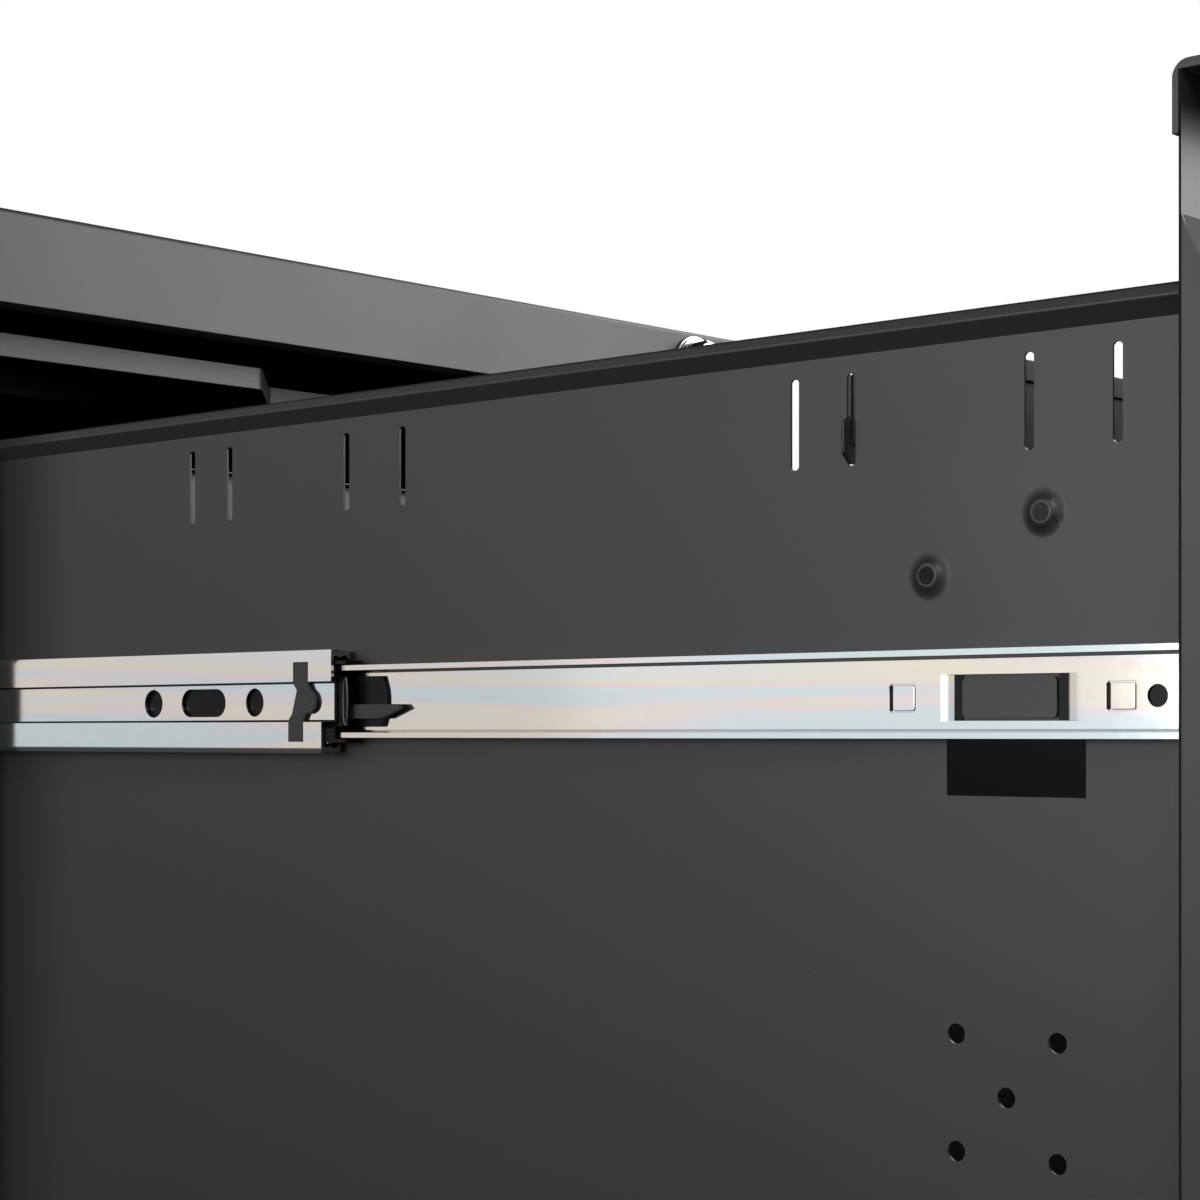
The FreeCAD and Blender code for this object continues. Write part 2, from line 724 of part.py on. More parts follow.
def drawer_side(name, side):
    hand = sides[side]
    body = add_body(f"{name}_drawer_side_{side}")
    sketch = add_sketch(body, "XZ")
    bead = "side_top - bead_height"
    section = [
        ("drawer_half - box_flange", "side_base"), ("drawer_half", "side_base"), ("drawer_half", bead),
        ("drawer_half + bead_out", f"{bead} + bead_slope"),
        ("drawer_half + bead_out - bead_lean", "side_top"), ("box_inner_half", "side_top"),
        ("box_inner_half", "side_base + drawer_sheet"),
        ("drawer_half - box_flange", "side_base + drawer_sheet"),
    ]
    outline(sketch, [(f"{hand} * ({x})", z) for x, z in section])
    pad(body, sketch, "box_depth")
    fillet(body, "y", [(f"{hand} * (drawer_half + bead_out - bead_lean)", "side_top"),
                       (f"{hand} * (drawer_half + bead_out)", f"{bead} + bead_slope")], "bead_round")
    holes = add_sketch(body, "YZ")
    for slot in file_slots:
        blunted(holes, f"{slot} - slot_width / 2", "slot_low", f"{slot} + slot_width / 2",
                "slot_low + slot_height", "slot_corner")
    rectangle(holes, "window_place", "window_level", "window_place + window_length",
              "window_level + window_height")
    circle(holes, "cluster_place", "cluster_level", "cluster_radius")
    for across in (-1, 1):
        for up in (-1, 1):
            circle(holes, f"cluster_place + {across} * cluster_pitch / 2",
                   f"cluster_level + {up} * cluster_pitch / 2", "cluster_radius")
    pocket(body, holes)
    # a pressed pad that the slide's window fits over
    middle = f"(slide_level + {hand} * feature_drop)"
    half = "(member_window_height / 2 - drawer_sheet)"
    front = "(member_window_place + locator_gap)"
    rear = "(member_window_place + member_window_length - locator_gap)"
    locator = add_sketch(body, "YZ", f"{hand} * drawer_half - {int(hand < 0)} * locator_proud")
    rectangle(locator, front, f"{middle} - {half}", rear, f"{middle} + {half}")
    pad(body, locator, "locator_proud")
    corners = [(y, f"{middle} + {up} * {half}") for y in (front, rear) for up in (-1, 1)]
    fillet(body, "x", corners, "locator_round")
    flare = "(dimple_radius - dimple_hole_radius - drawer_sheet) * drawer_sheet / dimple_height"
    for dimple in ("dimple_front", "dimple_rear"):
        # a cone pressed outwards, with the screw hole in its top
        cone(body, "Additive", dimple, hand, f"dimple_radius + {flare}", "dimple_hole_radius + drawer_sheet")
        cone(body, "Subtractive", dimple, hand, "dimple_radius", "dimple_hole_radius")
    place_drawer_part(body, drawers[name])


def cone(body, kind, dimple, hand, wide, narrow):
    # A cone along x from the sheet's inner face, narrow at its outboard end.
    feature = body.newObject(f"PartDesign::{kind}Cone", "Dimple")
    support = next(f for f in body.Origin.OriginFeatures if f.Role == "YZ_Plane")
    feature.AttachmentSupport = [(support, "")]
    feature.MapMode = "FlatFace"
    turn = 0 if hand > 0 else 180
    feature.AttachmentOffset = FreeCAD.Placement(
        FreeCAD.Vector(), FreeCAD.Rotation(FreeCAD.Vector(1, 0, 0), turn))
    for axis, text in zip("xyz", (f"{dimple}_place", f"{dimple}_level", f"{hand} * box_inner_half")):
        bind(feature, f"AttachmentOffset.Base.{axis}", text)
    bind(feature, "Radius1", wide)
    bind(feature, "Radius2", narrow)
    bind(feature, "Height", "dimple_height + drawer_sheet")


def drawer_bottom(name):
    body = add_body(f"{name}_drawer_bottom")
    low = "side_base + drawer_sheet"
    sketch = add_sketch(body, "XZ")
    outline(sketch, [
        ("-box_inner_half", low), ("box_inner_half", low), ("box_inner_half", f"{low} + box_flange"),
        ("box_inner_half - drawer_sheet", f"{low} + box_flange"),
        ("box_inner_half - drawer_sheet", f"{low} + drawer_sheet"),
        ("drawer_sheet - box_inner_half", f"{low} + drawer_sheet"),
        ("drawer_sheet - box_inner_half", f"{low} + box_flange"),
        ("-box_inner_half", f"{low} + box_flange"),
    ])
    pad(body, sketch, "box_depth - box_flange - drawer_sheet")
    place_drawer_part(body, drawers[name])


def drawer_back(name):
    body = add_body(f"{name}_drawer_back")
    sketch = add_sketch(body, "XY", "side_base + drawer_sheet")
    front = "box_depth - box_flange"
    outline(sketch, [
        ("-box_inner_half", front), ("drawer_sheet - box_inner_half", front),
        ("drawer_sheet - box_inner_half", "box_depth - drawer_sheet"),
        ("box_inner_half - drawer_sheet", "box_depth - drawer_sheet"),
        ("box_inner_half - drawer_sheet", front), ("box_inner_half", front),
        ("box_inner_half", "box_depth"), ("-box_inner_half", "box_depth"),
    ])
    pad(body, sketch, "side_height - drawer_sheet")
    sketch = add_sketch(body, "YZ")
    rectangle(sketch, "box_depth - back_top_flange", "side_top - drawer_sheet",
              "box_depth - drawer_sheet / 2", "side_top")
    pad(body, sketch, "2 * box_inner_half - drawer_sheet", centred=True)
    place_drawer_part(body, drawers[name])


scoop = [("-front_sheet", "scoop_high", "scoop_radius"), ("-front_thick", "scoop_low")]


def drawer_front(name):
    # The outer pan: its upper edge slopes back and up as the floor of the pull.
    body = add_body(f"{name}_drawer_front")
    sketch = add_sketch(body, "YZ")
    outline(sketch, [("-front_thick", "0"), ("-front_sheet", "0")] + scoop)
    pad(body, sketch, "2 * (front_half - front_sheet)", centred=True)
    doc.recompute()
    tip = body.Tip
    back_plane = value("-front_sheet")
    open_face = next(f"Face{i}" for i, face in enumerate(tip.Shape.Faces, start=1)
                     if abs(face.BoundBox.YMin - back_plane) < 0.01 and face.BoundBox.YLength < 0.01)
    shell = body.newObject("PartDesign::Thickness", "Pan")
    shell.Base = (tip, [open_face])
    bind(shell, "Value", "front_sheet")
    shell.Reversed = True
    place_drawer_part(body, drawers[name])


def front_backing(name):
    # The inner pan: it closes the front, and its upright web is the back wall of the pull.
    body = add_body(f"{name}_front_backing")
    sketch = add_sketch(body, "XY")
    outline(sketch, [
        ("-front_half", "0"), ("-front_half", "-front_back_flange"),
        ("front_sheet - front_half", "-front_back_flange"), ("front_sheet - front_half", "-front_sheet"),
        ("front_half - front_sheet", "-front_sheet"), ("front_half - front_sheet", "-front_back_flange"),
        ("front_half", "-front_back_flange"), ("front_half", "0"),
    ])
    pad(body, sketch, "front_height - pull_top")
    fillet(body, "z", [("-front_half", "0"), ("front_half", "0")], "front_edge_bend")
    sketch = add_sketch(body, "YZ")
    outline(sketch, scoop + [("-front_thick", "front_height"), ("-front_sheet", "front_height")])
    pocket(body, sketch)
    place_drawer_part(body, drawers[name])


def drawer_pull(name):
    # A cap over the front's upper edge: a hem behind, a grip that turns down in front.
    body = add_body(f"{name}_drawer_pull")
    sketch = add_sketch(body, "YZ")
    outline(sketch, [
        ("pull_proud", "front_height - pull_hem"), ("pull_proud", "front_height"),
        ("-front_thick", "front_height"), ("-front_thick", "front_height - pull_grip"),
        ("pull_grip_thick - front_thick", "front_height - pull_grip"),
        ("pull_grip_thick - front_thick", "front_height - pull_top"),
        ("0", "front_height - pull_top"), ("0", "front_height - pull_hem"),
    ])
    pad(body, sketch, "2 * front_half", centred=True)
    fillet(body, "x", [("pull_proud", "front_height")], "pull_back_radius")
    fillet(body, "x", [("-front_thick", "front_height")], "pull_front_radius")
    place_drawer_part(body, drawers[name])


def file_bar(name):
    # A flanged bar across the drawer whose end tabs hook through a pair of slots.
    body = add_body(f"{name}_file_bar")
    middle = bar_slot
    reach = "(box_inner_half - bar_end_gap)"
    sketch = add_sketch(body, "YZ")
    outline(sketch, [
        (f"{middle} - bar_sheet / 2", "side_top - bar_height"),
        (f"{middle} + bar_sheet / 2", "side_top - bar_height"),
        (f"{middle} + bar_sheet / 2", "side_top - bar_lip"),
        (f"{middle} + bar_lip_thick / 2", "side_top - bar_lip"),
        (f"{middle} + bar_lip_thick / 2", "side_top"), (f"{middle} - bar_lip_thick / 2", "side_top"),
        (f"{middle} - bar_lip_thick / 2", "side_top - bar_lip"),
        (f"{middle} - bar_sheet / 2", "side_top - bar_lip"),
    ])
    pad(body, sketch, f"2 * {reach}", centred=True)
    top = "(slot_low + slot_height - tab_play)"
    for hand in sides.values():
        sketch = add_sketch(body, "XZ", f"{middle} + slot_width / 2 - tab_gap - tab_thick")
        tab = [
            (f"{reach} - tab_neck", top), ("drawer_half", top), ("drawer_half", f"{top} - tab_neck"),
            ("drawer_half + tab_proud", f"{top} - tab_neck - tab_slant / 2"),
            ("drawer_half + tab_proud", "slot_low + tab_play + tab_slant"),
            ("drawer_half", "slot_low + tab_play"), (f"{reach} - tab_neck", "slot_low + tab_play"),
        ]
        outline(sketch, [(f"{hand} * ({x})", z) for x, z in tab])
        pad(body, sketch, "tab_thick")
    place_drawer_part(body, drawers[name])


def lock_keeper(name):
    # A bracket behind the right end of the front; the lock bar's catch drops into its notch.
    body = add_body(f"{name}_lock_keeper")
    inner = "(front_half - front_edge_bend - keeper_width)"
    sketch = add_sketch(body, "YZ", inner)
    outline(sketch, [
        ("0", "keeper_level"), ("keeper_depth", "keeper_level"),
        ("keeper_depth", "keeper_level + keeper_sheet"), ("keeper_sheet", "keeper_level + keeper_sheet"),
        ("keeper_sheet", "keeper_level + keeper_depth"), ("0", "keeper_level + keeper_depth"),
    ])
    pad(body, sketch, "keeper_width")
    notch = add_sketch(body, "XY", "keeper_level + keeper_sheet")
    rectangle(notch, "lock_bar_inner - catch_reach - keeper_play",
              "lock_bar_setback - front_thick - keeper_play",
              "front_half", "lock_bar_setback - front_thick + lock_bar_sheet + keeper_play")
    pocket(body, notch, "2 * keeper_sheet", reversed_way=False)
    place_drawer_part(body, drawers[name])


# Slides, in the left slide's frame: x from the drawer's side, y from the front's back plane,
# z from the slide's middle line.

def slide_member(body, section, start, length):
    sketch = add_sketch(body, "XZ", start)
    outline(sketch, [(f"-({point[0]})",) + tuple(point[1:]) for point in mirrored(section)])
    pad(body, sketch, length)
    return body


def inner_slide(name, side):
    under = "inner_ball_up - race_radius - slide_sheet"
    body = slide_member(add_body(f"{name}_inner_slide_{side}"), [
        ("0", "member_half"), ("inner_ball_out - race_half_width", "member_half", "race_radius"),
        ("inner_ball_out + race_half_width", "member_half"), ("inner_reach", "member_half"),
        ("inner_reach", "member_half - 1.5 * slide_sheet"), ("inner_ball_out + slide_sheet", under),
        ("inner_ball_out - slide_sheet", under), ("slide_sheet", "inner_web_half"),
    ], "slide_setback", "slide_length")
    low = "(-feature_drop - member_window_height / 2)"
    window_end = "(member_window_place + member_window_length)"
    holes = add_sketch(body, "YZ")
    circle(holes, "member_hole_place", "-feature_drop", "member_hole_radius")
    rectangle(holes, "member_window_place", low, window_end, f"{low} + member_window_height")
    tab_half = "member_tab_size / 2"
    for middle in ("member_tab_first", "member_tab_second"):
        rectangle(holes, f"{middle} + {tab_half}", f"member_tab_slit / 2 - feature_drop - {tab_half}",
                  f"{middle} + {tab_half} + member_tab_slit",
                  f"{tab_half} - feature_drop - member_tab_slit / 2")
    pocket(body, holes)
    # the window's upright edges are rolled in towards the drawer
    rolls = add_sketch(body, "XY", low)
    bow = "(member_roll_length ^ 2 + member_roll_depth ^ 2) / (2 * member_roll_depth)"
    for edge, sign in (("member_window_place", -1), (window_end, 1)):
        start = f"{edge} + {sign} * member_roll_length"
        outline(rolls, [
            ("-slide_sheet", start, f"{-sign} * {bow}"), ("member_roll_depth - slide_sheet", edge),
            ("-2 * slide_sheet", edge), ("-2 * slide_sheet", start),
        ])
    pocket(body, rolls, "member_window_height", reversed_way=True)
    lanced = add_sketch(body, "YZ", "-slide_sheet")
    for middle in ("member_tab_first", "member_tab_second"):
        rectangle(lanced, f"{middle} - {tab_half}", f"-feature_drop - {tab_half}",
                  f"{middle} + {tab_half} + member_tab_slit / 2", f"{tab_half} - feature_drop")
    pocket(body, lanced, "member_tab_depth", reversed_way=True)
    place_slide_part(body, side, drawers[name], 1)


def middle_slide(name, side):
    knee = "middle_band_half + middle_step"
    ledge = "outer_ball_up - race_radius - slide_sheet"
    bow = "(middle_round ^ 2 + middle_land ^ 2) / (2 * middle_land)"
    body = slide_member(add_body(f"{name}_middle_slide_{side}"), [
        ("middle_band", "middle_band_half"), ("middle_face", knee),
        ("middle_face", "middle_half - middle_round", bow),
        ("outer_ball_out + race_half_width", "middle_half", "-race_radius"),
        ("outer_ball_out - race_half_width", "middle_half"), ("inner_ball_out", "middle_half - slide_sheet / 3"),
        ("slide_sheet", "middle_half - slide_sheet / 3"), ("slide_sheet", "middle_under"),
        ("inner_ball_out - race_half_width", "middle_under", "-race_radius"),
        ("inner_ball_out + race_half_width", "middle_under"),
        ("inner_ball_out + race_half_width + slide_sheet / 3", ledge), ("middle_inner", ledge),
        ("middle_inner", f"{knee} + slide_sheet / 3"),
        ("middle_band - slide_sheet", "middle_band_half + slide_sheet / 3"),
    ], "middle_setback", "middle_length")
    holes = add_sketch(body, "YZ")
    first = "(middle_setback + middle_hole_first)"
    circle(holes, first, "0", "middle_hole_radius")
    circle(holes, f"{first} + middle_hole_spacing", "0", "middle_hole_radius")
    oblong(holes, f"({first} + middle_hole_spacing / 2)", "0", "middle_oblong_length", "middle_hole_radius")
    for sign, start in ((1, "stop_setback"), (-1, "(stop_setback + stop_shift)")):
        front = f"middle_setback + {start} - stop_play"
        ends = (f"{sign} * (middle_band_half + slide_sheet / 3)", f"{sign} * (stop_half + stop_play)")
        low, high = sorted(ends, key=value)
        rectangle(holes, front, low, f"{front} + stop_arm + 2 * stop_play", high)
    pocket(body, holes)
    channel = add_sketch(body, "YZ", "-middle_band")
    rectangle(channel, first, "-middle_channel_half", f"{first} + middle_hole_spacing", "middle_channel_half")
    pocket(body, channel, "middle_channel_depth", reversed_way=True)
    cutback = add_sketch(body, "XZ", "middle_setback")
    rectangle(cutback, "-middle_face - slide_sheet", "-outer_half", "0", f"-({knee})")
    pocket(body, cutback, "middle_cutback")
    place_slide_part(body, side, drawers[name], 0.5)


def outer_slide(name, side):
    crown = "outer_half - slide_sheet"
    body = slide_member(add_body(f"{name}_outer_slide_{side}"), [
        ("slide_space", crown), ("outer_ball_out + 2 * slide_sheet", crown),
        ("outer_ball_out + slide_sheet", "outer_half"), ("outer_ball_out - slide_sheet", "outer_half"),
        ("outer_tip", crown), ("outer_tip", "outer_race_tip"),
        ("outer_ball_out - race_half_width", "outer_race_tip", "-race_radius"),
        ("outer_ball_out + race_half_width", "outer_race_tip"),
        ("slide_space - slide_sheet", "outer_race_tip"),
    ], "slide_setback", "slide_length")
    holes = add_sketch(body, "YZ")
    post = "(post_setback + post_width / 2 - front_thick)"
    for middle in (post, f"({post} + post_spacing)"):
        oblong(holes, middle, "0", "post_slot_height", "post_slot_width / 2")
    pocket(body, holes)
    place_slide_part(body, side, drawers[name], 0)


cages = {
    "inner": {"out": "inner_ball_out", "up": "inner_ball_up", "start": "inner_cage_setback", "run": 0.75},
    "outer": {"out": "outer_ball_out", "up": "outer_ball_up", "start": "outer_cage_setback", "run": 0.25},
}


def ball_places():
    room = value("cage_length - 2 * ball_first")
    return range(int(room / value("ball_pitch") + 0.001) + 1)


def ball_cage(kind):
    # The plastic retainer of one slide, in the left slide's frame.
    cage = cages[kind]
    start = cage["start"]
    above, below = f"{cage['up']} + cage_sheet / 2", f"{cage['up']} - cage_sheet / 2"
    tip = f"{cage['out']} - ball_radius - cage_sheet - race_clearance"
    if kind == "inner":
        web = "(middle_band - slide_sheet - 2 * race_clearance)"
        web_half = "(middle_band_half + middle_step - 1.5 * cage_sheet - middle_band_depth / 2)"
        shoulder = "(middle_inner - 1.5 * race_clearance)"
        knee = "(middle_band_half + middle_step)"
        section = [
            (web, web_half), (shoulder, f"{knee} + race_clearance"),
            (shoulder, above), (tip, above), (tip, below), (f"{shoulder} - cage_sheet", below),
            (f"{shoulder} - cage_sheet", f"{knee} + 2 * race_clearance"), (f"{web} - cage_sheet", web_half),
        ]
    else:
        web = "outer_cage_face"
        section = [(f"{web} + cage_sheet", above), (tip, above), (tip, below), (web, below)]
    body = slide_member(doc.addObject("PartDesign::Body", "Cage"), section, start, "cage_length")
    pockets = add_sketch(body, "XY")
    for number in ball_places():
        along = f"{start} + ball_first + {number} * ball_pitch"
        rectangle(pockets, f"-{cage['out']} - ball_pocket_half", f"{along} - ball_pocket_half",
                  f"ball_pocket_half - {cage['out']}", f"{along} + ball_pocket_half")
    pocket(body, pockets)
    if kind == "inner":
        # a bowed nose between two arms, set back in front of the drawer member's flanges
        bow = "(cage_nose_half ^ 2 + cage_nose ^ 2) / (2 * cage_nose)"
        notch = f"{start} + cage_notch"
        end = add_sketch(body, "YZ")
        outline(end, [
            (f"{start} - cage_notch", "cage_arm_low"), (notch, "cage_arm_low"), (notch, "cage_nose_half"),
            (f"{start} + cage_nose", "cage_nose_half", f"-{bow}"),
            (f"{start} + cage_nose", "-cage_nose_half"), (notch, "-cage_nose_half"),
            (notch, "-cage_arm_low"), (f"{start} - cage_notch", "-cage_arm_low"),
        ])
        pocket(body, end)
    return body


def steel_ball():
    # A ball with few faces: what three eight-sided prisms, one along each axis, have in common.
    prisms = []
    for axis, direction in zip("xyz", ((1, 0, 0), (0, 1, 0), (0, 0, 1))):
        prism = doc.addObject("Part::Prism", "BallPrism")
        prism.Polygon = 8
        bind(prism, "Circumradius", "ball_radius * ball_flat / cos(22.5 deg)")
        bind(prism, "Height", "2 * ball_radius")
        turn = FreeCAD.Rotation(FreeCAD.Vector(0, 0, 1), FreeCAD.Vector(*direction))
        flat = FreeCAD.Rotation(FreeCAD.Vector(0, 0, 1), 22.5)
        prism.Placement.Rotation = turn.multiply(flat)
        place(prism, **{axis: "-ball_radius"})
        prisms.append(prism)
    ball = doc.addObject("Part::MultiCommon", "Ball")
    ball.Shapes = prisms
    return ball


def slide_balls(name, kind):
    # All balls of one drawer's two cages.
    cage = cages[kind]
    drawer = drawers[name]
    balls = []
    for hand in sides.values():
        for up in (-1, 1):
            for number in ball_places():
                ball = linked(ball_shape)
                place(ball, f"{hand} * (drawer_half + {cage['out']})",
                      f"closed_plane - {drawer['open'] * cage['run']} * travel + {cage['start']}"
                      f" + ball_first + {number} * ball_pitch",
                      f"base_height + front_gap + {drawer['level']} * level_pitch + slide_level"
                      f" + {up} * {cage['up']}")
                balls.append(ball)
    add_group(f"{name}_{kind}_balls", balls)


def slide_stop():
    # The plastic stop in a middle member: an S with a bulge across the recessed band.
    body = doc.addObject("PartDesign::Body", "Stop")
    sketch = add_sketch(body, "YZ", "-(middle_face + stop_proud)")
    front = "(middle_setback + stop_setback)"
    low_front = f"({front} + stop_shift)"
    outline(sketch, [
        (front, "stop_half"), (front, "middle_band_half"),
        (f"{front} - stop_bulge_shift", "stop_waist_half", "-stop_bulge_radius"),
        (f"{low_front} - stop_bulge_shift", "-stop_waist_half"), (low_front, "-middle_band_half"),
        (low_front, "-stop_half"), (f"{low_front} + stop_arm", "-stop_half"),
        (f"{low_front} + stop_arm", "-middle_band_half"), (f"{low_front} + stop_waist", "-stop_waist_half"),
        (f"{front} + stop_waist", "stop_waist_half"), (f"{front} + stop_arm", "middle_band_half"),
        (f"{front} + stop_arm", "stop_half"),
    ])
    pad(body, sketch, "slide_sheet + stop_proud")
    return body


def lever_mount():
    # The base that carries the release lever, snapped into a drawer member.
    body = doc.addObject("PartDesign::Body", "LeverMount")
    sketch = add_sketch(body, "YZ", "-(slide_sheet + lever_mount_thick)")
    front = "lever_mount_place + lever_mount_thick"
    end = "lever_mount_place + lever_mount_length"
    outline(sketch, [
        (front, "lever_mount_half", "-lever_mount_bow"), (front, "-lever_mount_half"),
        (end, "-lever_mount_half"), (end, "lever_mount_half"),
    ])
    pad(body, sketch, "lever_mount_thick")
    sketch = add_sketch(body, "YZ", "-(slide_sheet + lever_mount_thick + lever_pin_height)")
    circle(sketch, "lever_pivot_place", "-lever_pivot_drop", "lever_pin_radius")
    pad(body, sketch, "lever_pin_height + lever_mount_thick / 2")
    return body


def slide_pair(label, piece, name, run):
    # The same small piece on one drawer's left and right slides.
    pieces = [linked(piece) for side in sides]
    for side, item in zip(sides, pieces):
        place_slide_part(item, side, drawers[name], run)
    add_group(label, pieces)


def release_lever(name, side):
    body = add_body(f"{name}_release_lever_{side}")
    inner = "-(slide_sheet + lever_mount_thick + lever_play + lever_thick)"
    top, low = "-lever_finger_top", "-(lever_finger_top + lever_finger_height)"
    sketch = add_sketch(body, "YZ", inner)
    outline(sketch, [
        ("lever_tip_place", f"{top} - lever_tip_nose"), ("lever_tip_place + lever_tip_nose", top),
        ("lever_pivot_place", top), ("lever_pivot_place", low), ("lever_tip_place + lever_tip_length", low),
    ])
    pad(body, sketch, "lever_thick")
    sketch = add_sketch(body, "YZ", inner)
    circle(sketch, "lever_pivot_place", "-lever_pivot_drop", "lever_hub_radius")
    pad(body, sketch, "lever_thick")
    sketch = add_sketch(body, "YZ")
    circle(sketch, "lever_pivot_place", "-lever_pivot_drop", "lever_pin_radius + lever_pin_clearance")
    pocket(body, sketch)
    place_slide_part(body, side, drawers[name], 1)


# lock

def lock_sleeve():
    body = add_body("lock_sleeve")
    rings = [
        ("-lock_collar", "lock_barrel_length + lock_collar", "lock_outside", "lock_bore"),
        ("-lock_wall", "lock_wall", "lock_outside + lock_nut_wall / 2", "lock_bore"),
        ("lock_nut_place", "lock_nut_height", "lock_outside + lock_nut_wall", "lock_bore"),
        ("lock_barrel_length - lock_wall", "lock_wall", "lock_outside", "lock_tail_radius + 3 * lock_clearance"),
    ]
    for start, length, outside, inside in rings:
        sketch = add_sketch(body, "XZ", start)
        circle(sketch, "lock_x", "lock_z", outside)
        circle(sketch, "lock_x", "lock_z", inside)
        pad(body, sketch, length)
    place(body, "0", "case_front", "0")


def lock_plunger():
    body = add_body("lock_plunger")
    sketch = add_sketch(body, "XZ", "-lock_proud")
    circle(sketch, "lock_x", "lock_z", "lock_radius")
    pad(body, sketch, "lock_head_length")
    doc.recompute()
    head = body.Tip
    rim = [f"Edge{i}" for i, edge in enumerate(head.Shape.Edges, start=1)
           if edge.BoundBox.YLength < 0.1 and edge.CenterOfMass.y < value("0.1 - lock_proud")]
    bevel = body.newObject("PartDesign::Chamfer", "Rim")
    bevel.Base = (head, rim)
    bind(bevel, "Size", "lock_edge_bevel")
    sketch = add_sketch(body, "XZ", "lock_head_length - lock_proud")
    circle(sketch, "lock_x", "lock_z", "lock_tail_radius")
    pad(body, sketch, "lock_tail_end - (lock_head_length - lock_proud)")
    sketch = add_sketch(body, "YZ", "lock_x")
    circle(sketch, "lock_pin_place", "lock_z", "lock_pin_radius")
    pad(body, sketch, "lock_pin_reach")
    sketch = add_sketch(body, "XZ", "-lock_proud")
    circle(sketch, "lock_x", "lock_z", "plug_radius + plug_clearance")
    pocket(body, sketch, "plug_length + lock_clearance", reversed_way=False)
    place(body, "0", "case_front", "0")


def lock_plug():
    body = add_body("lock_plug")
    sketch = add_sketch(body, "XZ", "-lock_proud")
    circle(sketch, "lock_x", "lock_z", "plug_radius")
    pad(body, sketch, "plug_length")
    sketch = add_sketch(body, "XZ", "-lock_proud")
    rectangle(sketch, "lock_x - keyway_width / 2", "lock_z - keyway_height / 2",
              "lock_x + keyway_width / 2", "lock_z + keyway_height / 2")
    pocket(body, sketch, "keyway_depth", reversed_way=False)
    place(body, "0", "case_front", "0")


def lock_bar():
    # The plunger's pin in the sloping slot drives the bar down; its catches drop into the keepers.
    body = add_body("lock_bar")
    arm_low = "(lock_z - 2 * lock_arm_height / 3)"
    points = [("lock_bar_outer", "lock_bar_foot"), ("lock_bar_outer", f"{arm_low} + lock_arm_height"),
              ("lock_cam_x", f"{arm_low} + lock_arm_height"), ("lock_cam_x", arm_low),
              ("lock_bar_inner", arm_low)]
    for drawer in sorted(drawers.values(), key=lambda d: -d["level"]):
        low = f"(base_height + front_gap + {drawer['level']} * level_pitch + catch_low)"
        points += [("lock_bar_inner", f"{low} + catch_height"),
                   ("lock_bar_inner - catch_reach", f"{low} + catch_height"),
                   ("lock_bar_inner - catch_reach", low), ("lock_bar_inner", low)]
    points.append(("lock_bar_inner", "lock_bar_foot"))
    sketch = add_sketch(body, "XZ", "lock_bar_setback")
    outline(sketch, points)
    pad(body, sketch, "lock_bar_sheet")
    sketch = add_sketch(body, "YZ", "lock_cam_x")
    end = "(lock_pin_place + lock_push)"
    rectangle(sketch, "lock_bar_setback", arm_low, f"{end} + 3 * lock_pin_radius", "lock_z + lock_cam_rise")
    pad(body, sketch, "lock_bar_sheet")
    sketch = add_sketch(body, "YZ")
    shift = "lock_slot_half / sqrt(2)"
    outline(sketch, [
        (f"lock_pin_place + {shift}", f"lock_z - {shift}"),
        (f"{end} + {shift}", f"lock_z + lock_push - {shift}", "-1.0001 * lock_slot_half"),
        (f"{end} - {shift}", f"lock_z + lock_push + {shift}"),
        (f"lock_pin_place - {shift}", f"lock_z + {shift}", "-1.0001 * lock_slot_half"),
    ])
    pocket(body, sketch)
    place(body, "0", "case_front", "0")


def lock_guides():
    body = add_body("lock_guides", several=True)
    sketch = add_sketch(body, "XY", "guide_first")
    near = "lock_bar_setback - guide_play"
    far = "lock_bar_setback + lock_bar_sheet + guide_play"
    rectangle(sketch, "lock_bar_inner - guide_play - guide_wall", f"{near} - guide_wall",
              "case_inner_half", f"{far} + guide_wall")
    rectangle(sketch, "lock_bar_inner - guide_play", near, "lock_bar_outer + guide_play", far)
    guide = pad(body, sketch, "guide_height")
    repeat(body, [guide], "Z", "guide_spacing", "guide_count")
    place(body, "0", "case_front", "0")


for side_name in sides:
    case_side(side_name)
    slide_posts(side_name)
case_top()
case_back()
case_base()
front_tie()
levelling_feet()
lock_sleeve()
lock_plunger()
lock_plug()
lock_bar()
lock_guides()
cage_bodies = {cage_kind: ball_cage(cage_kind) for cage_kind in cages}
ball_shape = steel_ball()
stop_body = slide_stop()
mount_body = lever_mount()
for drawer_name in drawers:
    for side_name in sides:
        drawer_side(drawer_name, side_name)
        inner_slide(drawer_name, side_name)
        middle_slide(drawer_name, side_name)
        outer_slide(drawer_name, side_name)
        release_lever(drawer_name, side_name)
    for cage_kind in cages:
        slide_pair(f"{drawer_name}_{cage_kind}_cages", cage_bodies[cage_kind], drawer_name,
                   cages[cage_kind]["run"])
        slide_balls(drawer_name, cage_kind)
    drawer_bottom(drawer_name)
    drawer_back(drawer_name)
    drawer_front(drawer_name)
    front_backing(drawer_name)
    drawer_pull(drawer_name)
    file_bar(drawer_name)
    lock_keeper(drawer_name)
    slide_pair(f"{drawer_name}_slide_stops", stop_body, drawer_name, 0.5)
    slide_pair(f"{drawer_name}_lever_mounts", mount_body, drawer_name, 1)

doc.recompute()
failed = [item.Label for item in doc.Objects if {"Invalid", "Error"} & set(item.State)]
for node in nodes:
    if node.Shape.isNull() or not node.Shape.isValid():
        failed.append(node.Label)
if failed:
    raise SystemExit("not built: " + ", ".join(failed))

